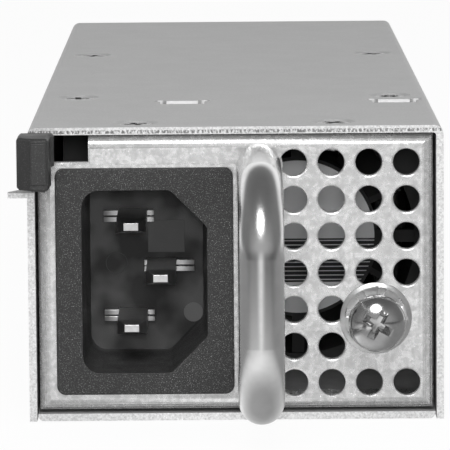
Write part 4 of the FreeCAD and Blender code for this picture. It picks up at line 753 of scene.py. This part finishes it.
# %% Cross recess
def cross_tool(name, span, arm, depth, shrink=0.55):
    """A cross to cut with, along +Y from y = 0, its arms on the X and Z axes."""
    tool = start(name, bpy.ops.mesh.primitive_cube_add, size=1, location=(0, depth / 2, 0),
                 scale=(arm, depth, arm))
    bpy.ops.object.mode_set(mode="EDIT")
    pick(tool, "faces", lambda face: abs(face.normal.y) < 0.5)
    bpy.ops.mesh.extrude_faces_move(
        TRANSFORM_OT_shrink_fatten={"value": (span - arm) / 2})
    pick(tool, "verts", lambda vertex: vertex.co.y > depth * 0.9)
    bpy.ops.transform.resize(value=(shrink, 1, shrink), center_override=(0, depth, 0))
    bpy.ops.mesh.select_all(action="SELECT")
    bpy.ops.mesh.normals_make_consistent(inside=False)
    bpy.ops.object.mode_set(mode="OBJECT")
    return tool


print("cross recess tool defined")

# %% [markdown]
# ## Earth screw
#
# The case's earth terminal is an M4 pan head screw, backed out by some five millimetres so that
# a cord's ring can go under it. Its head is a low dome with a rounded rim and a flat seat. A
# squashed ball would give the dome but no seat, so the outline is spun round as on a lathe.

# %% Earth screw's head
screw_low, screw_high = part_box("earth_screw")
screw_axis = Vector(((screw_low.x + screw_high.x) / 2, 0, (screw_low.z + screw_high.z) / 2))
HEAD_TOP = screw_low.y
HEAD_PROFILE = [(0, 0), (0.5, 0.02), (1.0, 0.09), (1.5, 0.2), (2.0, 0.36), (2.4, 0.53),
                (2.8, 0.75), (3.15, 1.0), (3.45, 1.28), (3.68, 1.6), (3.83, 1.95), (3.9, 2.3),
                (3.88, 2.58), (3.75, 2.7), (0, 2.7)]
earth_head = turned("earth_screw_head", [(r * MM, y * MM) for r, y in HEAD_PROFILE],
                    screw_axis + Vector((0, HEAD_TOP, 0)), 64)
CUT_ABOVE = 0.02 * MM
RECESS_TURN = math.radians(-60)
recess = cross_tool("recess", 4.5 * MM, 1.2 * MM, 2.3 * MM, 0.5)
recess.data.transform(Matrix.Translation(screw_axis + Vector((0, HEAD_TOP - CUT_ABOVE, 0)))
                      @ Matrix.Rotation(RECESS_TURN, 4, "Y"))
cut(earth_head, recess)
soften(earth_head, 0.06 * MM, 32, 2, 28)
print("earth screw's head at mm", [round(v / MM, 1) for v in screw_axis], "faces",
      len(earth_head.data.polygons))

# %% [markdown]
# The shank shows between the washer and the head, so it gets a real thread. A picture of rings
# or a bump would pass from far away, but not at its outline. A zigzag of ridges is spun round,
# and every point is moved along by its share of one pitch. That makes a helix of the rings and
# joins each ridge to the next, and the open ends are filled.


# %% Thread
THREAD_STEPS = 32


def threaded_shank(name, radius, pitch, first, last):
    """A helical thread along +Y about the Y axis, with its core."""
    ridges = int((last - first) / pitch)
    points = []
    for ridge in range(ridges):
        points += [(radius - 0.6 * pitch, first + ridge * pitch),
                   (radius, first + (ridge + 0.45) * pitch),
                   (radius, first + (ridge + 0.6) * pitch)]
    thread = start(name, bpy.ops.mesh.primitive_circle_add, vertices=len(points), radius=0.01)
    for vertex, (across, along) in zip(thread.data.vertices, points):
        vertex.co = (across, along, 0)
    bpy.ops.object.mode_set(mode="EDIT")
    length = last - first
    pick(thread, "edges", lambda edge: edge.calc_length() > length / 2)
    bpy.ops.mesh.delete(type="EDGE")
    bpy.ops.mesh.select_all(action="SELECT")
    bpy.ops.mesh.spin(steps=THREAD_STEPS, angle=math.tau, center=(0, 0, 0), axis=(0, 1, 0))
    bpy.ops.object.mode_set(mode="OBJECT")
    for vertex in thread.data.vertices:
        turn = math.atan2(-vertex.co.z, vertex.co.x) % math.tau
        vertex.co.y += pitch * turn / math.tau
    bpy.ops.object.mode_set(mode="EDIT")
    bpy.ops.mesh.select_all(action="SELECT")
    bpy.ops.mesh.remove_doubles(threshold=MERGE)
    bpy.ops.mesh.fill_holes(sides=0)
    bpy.ops.mesh.normals_make_consistent(inside=False)
    bpy.ops.object.mode_set(mode="OBJECT")
    core = turned(name + "_core", [(0, first), (radius - 0.55 * pitch, first),
                                   (radius - 0.55 * pitch, last + 0.3 * pitch),
                                   (radius - 0.9 * pitch, last + 0.9 * pitch),
                                   (0, last + 0.9 * pitch)], (0, 0, 0), THREAD_STEPS)
    return join([thread, core], name)


PITCH = 0.7 * MM
SHANK_RADIUS = 1.95 * MM
HEAD_SEAT = HEAD_TOP + 2.6 * MM
shank = threaded_shank("earth_screw_thread", SHANK_RADIUS, PITCH, HEAD_SEAT,
                       screw_high.y - PITCH)
shank.data.transform(Matrix.Translation(screw_axis))
shade(shank, 30)
finish_piece(join([earth_head, shank], "earth_screw_turned"), screw_plating, "earth_screw",
             "earth_screw")

# %% [markdown]
# ## Lock washer
#
# The washer is stamped from spring steel. Its ring is slightly dished, and eight teeth on the
# inside are each twisted about their own length so that their corners bite. A Simple Deform
# modifier can twist a bar, but it can't let the twist fade out at the root. So one tooth is a
# bar that is cut across seven times and turned step by step, and eight copies stand round the
# ring. No corner goes past the washer's rear face, where the panel is.

# %% Lock washer
RING = 4.9 * MM
TEETH = 8
FIRST_TOOTH = 10
TOOTH_ROOT = 4.35 * MM
TOOTH_TIP = 2.25 * MM
TOOTH_LEVEL = -0.30 * MM
TOOTH_THICK = 0.42 * MM
TOOTH_WIDE = 2.3 * MM
TOOTH_TWIST = math.radians(40)
TWIST_RATE = 1.6
TOOTH_CUTS = 7
PANEL_GAP = 0.01 * MM
rear_face = Vector((0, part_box("lock_washer")[1].y, 0))
ring = turned("lock_washer_ring", [
    (TOOTH_ROOT - 0.1 * MM, -0.52 * MM), (RING - 0.3 * MM, -0.40 * MM),
    (RING - 0.06 * MM, -0.28 * MM), (RING, -0.18 * MM), (RING - 0.02 * MM, 0.0),
    (RING - 0.4 * MM, -0.02 * MM), (TOOTH_ROOT - 0.1 * MM, -0.08 * MM)],
    screw_axis + rear_face, 96)
tooth = start("tooth", bpy.ops.mesh.primitive_cube_add, size=1,
              location=((TOOTH_ROOT + TOOTH_TIP) / 2, TOOTH_LEVEL, 0),
              scale=(TOOTH_ROOT - TOOTH_TIP, TOOTH_THICK, TOOTH_WIDE))
bpy.ops.object.mode_set(mode="EDIT")
pick(tooth, "edges", lambda edge: abs((edge.verts[0].co - edge.verts[1].co).x) > MERGE)
bpy.ops.mesh.subdivide(number_cuts=TOOTH_CUTS)
bpy.ops.object.mode_set(mode="OBJECT")
for vertex in tooth.data.vertices:
    share = (TOOTH_ROOT - vertex.co.x) / (TOOTH_ROOT - TOOTH_TIP)
    angle = TOOTH_TWIST * min(1.0, TWIST_RATE * share)
    across, along = vertex.co.z * (1 - 0.5 * share), vertex.co.y - TOOTH_LEVEL
    vertex.co.z = across * math.cos(angle) - along * math.sin(angle)
    level = across * math.sin(angle) + along * math.cos(angle) + TOOTH_LEVEL
    vertex.co.y = min(level, -PANEL_GAP)
teeth = []
for index in range(TEETH):
    turn = math.radians(FIRST_TOOTH + 360 / TEETH * index)
    teeth.append(copy_of(tooth, f"tooth_{index}", Matrix.Translation(screw_axis + rear_face)
                         @ Matrix.Rotation(-turn, 4, "Y")))
bpy.data.objects.remove(tooth, do_unlink=True)
washer = join([ring, *teeth], "lock_washer_stamped")
soften(washer, 0.04 * MM, 40, 1)
finish_piece(washer, washer_plating, "lock_washer", "lock_washer")

# %% [markdown]
# ## Cover screws
#
# Six countersunk screws hold the cover. Their heads sit just under the sheet, in pressed dimples
# that take the cone. All six are one piece in the frame, so their places are found first: its
# points are sorted into squares wide enough for one screw, and each square's screw is measured.
# Separating the mesh by loose parts would find them too, but would leave six meshes to clear
# away. One screw is then turned and cut, and six copies stand in the dimples, each with its
# recess at another turn, as a driver leaves them.

# %% Places of the cover screws
SORTING_SQUARE = 9 * MM
SCREW_REACH = 6 * MM
screw_points = [vertex.co for vertex in nodes["cover_screws"].data.vertices]
squares = {}
for point in screw_points:
    square = (round(point.x / SORTING_SQUARE), round(point.y / SORTING_SQUARE))
    squares.setdefault(square, []).append(point)
centres = []
for inside in squares.values():
    middle = sum(inside, Vector()) / len(inside)
    if all((middle - other).xy.length > SCREW_REACH for other in centres):
        near_by = [point for point in screw_points if (point - middle).xy.length < SCREW_REACH]
        centres.append(Vector(((min(p.x for p in near_by) + max(p.x for p in near_by)) / 2,
                               (min(p.y for p in near_by) + max(p.y for p in near_by)) / 2,
                               max(p.z for p in near_by))))
print("cover screws at mm", [tuple(round(c / MM, 1) for c in centre) for centre in centres])

# %% Cover screws
COVER_SCREW_PROFILE = [(0, 0), (2.1, 0.02), (2.45, 0.08), (2.6, 0.20), (1.45, 1.5), (1.45, 3.8),
                       (0, 3.9)]
FIRST_TURN, NEXT_TURN = 20, 37
first_screw = turned("cover_screw", [(r * MM, y * MM) for r, y in COVER_SCREW_PROFILE],
                     (0, 0, 0), 40)
recess = cross_tool("recess", 3.3 * MM, 0.85 * MM, 1.25 * MM)
recess.data.transform(Matrix.Translation((0, -CUT_ABOVE, 0)))
cut(first_screw, recess)
soften(first_screw, 0.04 * MM, 35, 1, 30)
cover_screws = []
for index, centre in enumerate(centres):
    cover_screws.append(copy_of(
        first_screw, f"cover_screw_{index}", Matrix.Translation(centre)
        @ Matrix.Rotation(math.radians(FIRST_TURN + NEXT_TURN * index), 4, "Z")
        @ Matrix.Rotation(math.radians(-90), 4, "X")))
bpy.data.objects.remove(first_screw, do_unlink=True)
finish_piece(join(cover_screws, "cover_screws_turned"), zinc_plating, "case", "cover_screws")

# %% [markdown]
# ## Latch spring
#
# The latch is one strip of spring steel: riveted to the wall at its rear, free at its front, with
# a catch that looks out through the wall. The frame splits it where it bends. Two stiff pieces
# would open a crack there when the latch is pressed. So here it is one bar with many cuts along
# its length.

# %% Latch spring
STRIP_CUTS = 70
CATCH_SINK = 0.3 * MM
CATCH_RAMP = 3.0 * MM
CATCH_NOSE = 1.2 * MM
foot_low, foot_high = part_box("latch_foot")
arm_low, arm_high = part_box("latch_arm")
strip_front, strip_rear = arm_low.y, foot_high.y
strip_length = strip_rear - strip_front
strip = start("latch_strip", bpy.ops.mesh.primitive_cube_add, size=1, location=(
    (foot_low.x + foot_high.x) / 2, (strip_front + strip_rear) / 2,
    (foot_low.z + foot_high.z) / 2), scale=(foot_high.x - foot_low.x, strip_length,
                                            foot_high.z - foot_low.z))
bpy.ops.object.mode_set(mode="EDIT")
pick(strip, "edges", lambda edge: abs((edge.verts[0].co - edge.verts[1].co).y) > MERGE)
bpy.ops.mesh.subdivide(number_cuts=STRIP_CUTS)
bpy.ops.object.mode_set(mode="OBJECT")

# The catch is a block on the strip, measured on the frame's arm and sloped at both its ends.
catch_points = [vertex.co for vertex in nodes["latch_arm"].data.vertices
                if vertex.co.x < foot_low.x - 0.5 * MM]
catch_low = Vector([min(p[i] for p in catch_points) for i in range(3)])
catch_high = Vector([max(p[i] for p in catch_points) for i in range(3)])
catch_middle = (catch_low + catch_high) / 2
catch = start("catch", bpy.ops.mesh.primitive_cube_add, size=1,
              location=(foot_low.x, catch_middle.y, catch_middle.z),
              scale=(2 * (foot_low.x - catch_low.x), catch_high.y - catch_low.y,
                     catch_high.z - catch_low.z))
for vertex in catch.data.vertices:
    if vertex.co.x > foot_low.x:
        vertex.co.x = foot_low.x + CATCH_SINK
    elif vertex.co.y > catch_middle.y:
        vertex.co.y -= CATCH_RAMP
    else:
        vertex.co.y += CATCH_NOSE
spring = join([strip, catch], "latch_spring")
soften(spring, 0.08 * MM, 25, 2)
spring.data.materials.clear()
spring.data.materials.append(spring_steel)
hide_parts("latch_foot", "latch_arm")
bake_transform(spring)
print("latch spring faces", len(spring.data.polygons))

# %% [markdown]
# ## Softened pieces
#
# A pressed or moulded edge is never perfectly sharp, and it is the small round that catches the
# light. A Bevel node in the material could fake it, but the outline would stay sharp. For pieces
# whose shape is right already, a copy of the frame's mesh is merged, its flat triangles are
# dissolved into whole faces, and its sharp edges get a bevel as narrow as the real round: a
# tenth of a millimetre on the blades, two tenths on the inlet.


# %% Softened copies
def softened(name, width, material, body="case", wide=None, wide_by=0.0, wide_steps=5,
             adjust=None):
    """Stands in for a frame piece: a copy with its sharp edges rounded, chosen ones widely."""
    piece = bpy.data.objects.new(name + "_soft", nodes[name].data.copy())
    bpy.context.scene.collection.objects.link(piece)
    pick_alone(piece)
    bpy.ops.object.mode_set(mode="EDIT")
    bpy.ops.mesh.select_all(action="SELECT")
    bpy.ops.mesh.remove_doubles(threshold=2 * MERGE)
    bpy.ops.mesh.dissolve_limited(angle_limit=math.radians(0.3))
    if adjust:
        bpy.ops.object.mode_set(mode="OBJECT")
        for vertex in piece.data.vertices:
            adjust(vertex.co)
        bpy.ops.object.mode_set(mode="EDIT")
    if wide:
        print(name, "wide edges", pick(piece, "edges", wide))
        bpy.ops.mesh.bevel(offset=wide_by, segments=wide_steps, affect="EDGES",
                           clamp_overlap=False)
    bpy.ops.object.mode_set(mode="OBJECT")
    if width:
        soften(piece, width)
    else:
        shade(piece)
    return finish_piece(piece, material, body, name)


print("softened copies defined")

# %% [markdown]
# ## Punched panel
#
# A punch draws the sheet down with it, so every hole has a rolled rim on the front. A bevel on
# a face with so many holes leaves faces that fold over, so the rims are cut instead: one tool
# with a stepped cone is turned, copied to each hole and taken out of the panel together with a
# shallow wedge round the latch's window. The grid has no holes near the earth screw.

# %% Punching tools
panel_front = front_edge + 0.35 * MM
HOLE_X = [7.9 + 5.1 * column for column in range(4)]
HOLE_Z = [5.035 + 5.03 * row for row in range(7)]
SCREW_ROOM = 5.9 * MM
RIM_PROFILE = [(0, -0.06), (2.2, -0.06), (2.06, 0.003), (1.91, 0.06), (1.83, 0.15), (1.79, 0.26),
               (0, 0.26)]
WINDOW_X, WINDOW_Z = -24.8 * MM, 37.65 * MM
WINDOW_WIDE, WINDOW_HIGH = 9.8 * MM, 4.2 * MM
WINDOW_FLARE = 0.26 * MM
rim_tool = turned("rim_tool", [(r * MM, y * MM) for r, y in RIM_PROFILE], (0, 0, 0), 48)
rim_tools = []
for x in HOLE_X:
    for z in HOLE_Z:
        place = Vector((x * MM, panel_front, z * MM))
        if (place - screw_axis).xz.length > SCREW_ROOM:
            rim_tools.append(copy_of(rim_tool, f"rim_tool_{len(rim_tools)}",
                                     Matrix.Translation(place)))
bpy.data.objects.remove(rim_tool, do_unlink=True)
window_tool = start("window_tool", bpy.ops.mesh.primitive_cube_add, size=1,
                    location=(WINDOW_X, panel_front + 0.06 * MM, WINDOW_Z),
                    scale=(WINDOW_WIDE, 0.14 * MM, WINDOW_HIGH))
for vertex in window_tool.data.vertices:
    if vertex.co.y < panel_front:
        vertex.co.x += WINDOW_FLARE * (1 if vertex.co.x > WINDOW_X else -1)
        vertex.co.z += WINDOW_FLARE * (1 if vertex.co.z > WINDOW_Z else -1)
tool = join([window_tool, *rim_tools], "panel_tool")
print("rims to cut", len(rim_tools))

# %% Front panel
panel = softened("front_panel", 0, panel_sheet)
cut(panel, tool)
pick_alone(panel)
bpy.ops.object.mode_set(mode="EDIT")
bpy.ops.mesh.select_all(action="SELECT")
bpy.ops.mesh.remove_doubles(threshold=3 * MERGE)
bpy.ops.mesh.dissolve_degenerate(threshold=3 * MERGE)
bpy.ops.object.mode_set(mode="OBJECT")
shade(panel)
print("panel faces", len(panel.data.polygons))

# %% [markdown]
# ## Inlet
#
# The mains inlet is one deep moulding. Most of its edges have a narrow round, and the clipped
# corners of its recess a wide one. One bevel modifier can do both with weights, but those would
# have to be set edge by edge. So the clipped corners are picked by their direction and their
# angle and bevelled first, and the modifier does the rest.


# %% Inlet body
def is_recess_corner(edge):
    """True for the recess's blunt corners, which run along Y and turn by half a right angle."""
    way = edge.verts[1].co - edge.verts[0].co
    return (abs(way.y) > 10 * MM and abs(way.x) < 2.5 * MM and len(edge.link_faces) == 2
            and 0.6 < edge.calc_face_angle(0) < 1.0)


softened("inlet_body", 0.22 * MM, inlet_plastic, wide=is_recess_corner, wide_by=0.45 * MM)

# %% [markdown]
# The floor of the inlet's recess keeps the marks of its mould: the round end of an ejector pin,
# a smoother round gate mark and a smooth raised field. Displacement could raise them, but the
# floor is one face with no points to move. They are thin closed shapes instead, which stand a
# few hundredths of a millimetre proud of the floor.

# %% Mould marks
FLOOR_PLACE = -75.5 * MM
MARK_RISE = 0.05 * MM
MARK_DEPTH = 4 * MARK_RISE
GATE_PLACE = Vector((-5.95 * MM, FLOOR_PLACE + MARK_RISE, 12.5 * MM))
GATE_RADIUS = 1.35 * MM
FIELD_PLACE = Vector((-9.65 * MM, FLOOR_PLACE + MARK_RISE, 23.25 * MM))
PIN_PLACE = Vector((-16.6 * MM, FLOOR_PLACE + 0.06 * MM, 19.5 * MM))
PIN_PROFILE = [(1.40, 0), (1.44, -0.12), (1.52, -0.12), (1.56, 0)]
gate = start("gate_mark", bpy.ops.mesh.primitive_cylinder_add, vertices=48, radius=GATE_RADIUS,
             depth=MARK_DEPTH, location=GATE_PLACE, rotation=(math.radians(90), 0, 0))
field = start("smooth_field", bpy.ops.mesh.primitive_cube_add, size=1, location=FIELD_PLACE,
              scale=(5.1 * MM, MARK_DEPTH, 4.5 * MM))
soften(field, 0.04 * MM)
pin = turned("pin_mark", [(r * MM, y * MM) for r, y in PIN_PROFILE], PIN_PLACE)
finish_piece(gate, gate_plastic, "case")
finish_piece(field, field_plastic, "case")
finish_piece(pin, fan_plastic, "case")

# %% [markdown]
# ## Latch cap and blades
#
# The cap is a small moulding with a pad for the thumb and steps at its sides. Only the edges
# that stick out are worn round, while those at the foot of a step stay crisp, and a Bevel
# modifier would round both. The signed angle between two faces tells them apart. The blades are
# punched, and every edge of theirs gets the same narrow round.

# %% Latch cap and blades
PAD_TOP = 38.8 * MM
PAD_RAISE = 0.32 * MM
STEP_PLACE = -24.6 * MM
STEP_TRIM = 0.3 * MM


def is_outer_corner(edge):
    """True for sharp edges that stick out."""
    return len(edge.link_faces) == 2 and edge.calc_face_angle_signed(0) > 0.45


def trim_cap(place):
    """Raises the pad's upper edge and draws the cap's side step in a little."""
    if abs(place.z - PAD_TOP) < 0.01 * MM:
        place.z += PAD_RAISE
    if place.x > STEP_PLACE:
        place.x -= STEP_TRIM


softened("latch_cap", 0, latch_plastic, "latch", wide=is_outer_corner, wide_by=0.13 * MM,
         wide_steps=2, adjust=trim_cap)
for blade in ("line_blade", "neutral_blade", "earth_blade"):
    softened(blade, 0.1 * MM, blade_plating)

# %% [markdown]
# ## World
#
# The object stands on a white table, and camera rays see the world round it as plain white.
# Bare metal shows the room as much as its own colour: it mirrors the white paper under and
# behind the case, while the room above and beside it is dim. That is what draws the dark flanks
# on the handle and the screw. An image of a room could do it, but this script reads none. So
# the world's strength for glossy rays follows their direction, split into its coordinates.

# %% World
WORLD_LIGHT = 0.38
ROOM_SIDE = 0.20
ROOM_FRONT = 0.42
ROOM_TOP = 0.14


def make_world():
    """A white world for the camera, a plain light, and a room that metal mirrors."""
    world = bpy.data.worlds.new("studio")
    world.use_nodes = True
    tree = world.node_tree
    tree.nodes.clear()
    path = add_node(tree, "LightPath")
    way = add_node(tree, "SeparateXYZ", {0: add_node(tree, "TexCoord").outputs["Generated"]})

    # The paper is seen behind and below, and the room ahead is brighter than its sides.
    behind = remap(tree, way.outputs["Y"], 0.25, 0.7)
    low = remap(tree, way.outputs["Z"], 0.62, 0.38)
    paper = times(tree, behind, low)
    ahead = times(tree, remap(tree, way.outputs["Y"], -0.35, -0.9),
                  remap(tree, way.outputs["Z"], 0.75, 0.25))
    room = remap(tree, ahead, 0.0, 1.0, ROOM_SIDE, ROOM_FRONT)
    above = remap(tree, way.outputs["Z"], 0.55, 0.9)
    room = plus(tree, times(tree, room, minus(tree, 1.0, above)), times(tree, above, ROOM_TOP))
    mirrored = larger(tree, paper, room)

    # Camera rays see white, glossy rays the room, and all others the plain light.
    seen = larger(tree, path.outputs["Is Camera Ray"], path.outputs["Is Transmission Ray"])
    glossy = path.outputs["Is Glossy Ray"]
    lighting = minus(tree, 1.0, larger(tree, seen, glossy))
    total = plus(tree, seen, plus(tree, times(tree, glossy, mirrored),
                                  times(tree, lighting, WORLD_LIGHT)))
    light = add_node(tree, "Background", {"Color": (1, 1, 1), "Strength": total})
    out = add_node(tree, "OutputWorld")
    tree.links.new(light.outputs[0], out.inputs["Surface"])
    bpy.context.scene.world = world


make_world()
print("world light", WORLD_LIGHT)

# %% [markdown]
# ## Floor
#
# The floor is a matt white that camera and transmission rays see as plain white with a light
# shadow. Glossy rays see a painted reflection on it instead, whose brightness is painted by
# place: brightest in a strip straight ahead of the case, dimmer to both sides and far ahead, and
# with a painted shadow under the handle's bow. A large black card at each side would dim the
# metal too, but would stand in the other views. So the floor's strength for glossy rays is
# worked out from the place on the floor.

# %% Floor
# How dim the painted reflection is to the sides and far ahead, and how dark the painted shadow
# under the handle is.
SIDE_DIM = 0.30
HANDLE_X = 0.003
HANDLE_AHEAD = 0.03
HANDLE_SHADOW_DIM = 0.40
FAR_DIM = 0.1
SHADOW_SHARE = 0.05


def diagonal(tree, beside, before):
    """The length of the diagonal of two sides."""
    return math_node(tree, "SQRT", plus(tree, times(tree, beside, beside),
                                        times(tree, before, before)))


def make_floor_material():
    """White paper with a soft shadow, and for glossy rays a painted reflection and shadow by place.
    """
    material = bpy.data.materials.new("floor")
    material.use_nodes = True
    tree = material.node_tree
    tree.nodes.clear()
    path = add_node(tree, "LightPath")
    glossy = path.outputs["Is Glossy Ray"]
    seen = larger(tree, path.outputs["Is Camera Ray"],
                  larger(tree, glossy, path.outputs["Is Transmission Ray"]))
    split = add_node(tree, "SeparateXYZ", {0: object_place(tree)})
    ahead = larger(tree, minus(tree, front_edge, split.outputs["Y"]), 0.0)

    # The slope is how far to the side a place lies for each metre that it lies ahead.
    slope = math_node(tree, "DIVIDE", split.outputs["X"], plus(tree, ahead, 0.02))
    turned_off = math_node(tree, "ABSOLUTE", plus(tree, slope, 0.10))
    sideways = remap(tree, turned_off, 0.10, 1.0, 1.0, SIDE_DIM)

    # Under the handle's bow a painted shadow dims the paper, by the distance from a point there.
    from_handle = diagonal(tree, minus(tree, split.outputs["X"], HANDLE_X),
                           minus(tree, ahead, HANDLE_AHEAD))
    close = remap(tree, from_handle, 0.006, 0.024, HANDLE_SHADOW_DIM, 1.0)
    front_paper = times(tree, sideways, close)
    behind = remap(tree, split.outputs["Y"], 0.0, 0.25)

    # Far ahead the painted reflection stays bright only in a narrow strip.
    off_centre = math_node(tree, "ABSOLUTE", plus(tree, slope, 0.02))
    forward = larger(tree, remap(tree, split.outputs["Y"], -0.29, -0.17, FAR_DIM, 1.0),
                     remap(tree, off_centre, 0.03, 0.36, 0.95, 0.0))
    paper = times(tree, larger(tree, front_paper, behind), forward)

    # Only glossy rays see the painted reflection and painted shadow, and they see no lit shadow.
    # This is the painted reflection's strength: the painted paper for glossy rays, plain for all
    # others.
    painted_reflection = plus(tree, times(tree, glossy, paper), minus(tree, 1.0, glossy))
    matt = add_node(tree, "BsdfDiffuse", {"Color": 0.8})
    glow = add_node(tree, "Emission", {"Color": 1.0, "Strength": painted_reflection})
    share = times(tree, seen, remap(tree, glossy, 0.0, 1.0, 1.0 - SHADOW_SHARE, 1.0))
    mix = add_node(tree, "MixShader", {0: share, 1: matt.outputs[0], 2: glow.outputs[0]})
    out = add_node(tree, "OutputMaterial")
    tree.links.new(mix.outputs[0], out.inputs["Surface"])
    return material


def make_plane(name, centre, size, material):
    """A stage plane."""
    bpy.ops.object.select_all(action="DESELECT")
    bpy.ops.mesh.primitive_plane_add(size=1, location=centre)
    plane = bpy.context.object
    plane.name = name
    plane.scale = (size[0], size[1], 1)
    bpy.ops.object.transform_apply(location=True, rotation=True, scale=True)
    plane.data.materials.append(material)
    return plane


FLOOR_DROP = 0.0002
floor = make_plane("floor", (0, 1.0, -FLOOR_DROP), (8.0, 8.0), make_floor_material())
print("floor", floor.name, "below the case by mm", FLOOR_DROP / MM)

# %% [markdown]
# ## Lamps
#
# One large round softbox stands high before the case, and weaker lamps fill from the front and
# from the right. A sun would be simpler, but its light is even and its shadow hard. Metal would
# mirror each lamp as a white disc, so only part of the softbox's light shows in reflections.
# The rest comes from a twin in the same place, and metal shows neither the twin nor the fills.


# %% Lamps
def add_softbox(name, place, target, size, power):
    """A round area lamp that faces a target."""
    lamp = bpy.data.lights.new(name, "AREA")
    lamp.shape = "DISK"
    lamp.size = size
    lamp.energy = power
    holder = bpy.data.objects.new(name, lamp)
    bpy.context.scene.collection.objects.link(holder)
    direction = Vector(target) - Vector(place)
    holder.rotation_euler = direction.to_track_quat("-Z", "Y").to_euler()
    holder.location = place
    return holder


KEY_PLACE = (-0.04, -0.95, 0.80)
COVER_MIDDLE = (0, -0.05, 0.02)
CASE_FRONT = (0, -0.08, 0.02)
KEY_SIZE = 0.58
key = add_softbox("key_softbox", KEY_PLACE, COVER_MIDDLE, KEY_SIZE, 4.6)
soft_key = add_softbox("soft_key", KEY_PLACE, COVER_MIDDLE, KEY_SIZE, 3.9)
front_fill = add_softbox("front_fill", (0.0, -0.70, 0.125), CASE_FRONT, 0.07, 1.65)
side_fill = add_softbox("side_fill", (0.45, -0.70, 0.25), CASE_FRONT, 0.3, 2.0)
for lamp in (soft_key, front_fill, side_fill):
    lamp.visible_glossy = False
print("lamps", [(lamp.name, lamp.data.energy) for lamp in (key, soft_key, front_fill, side_fill)])
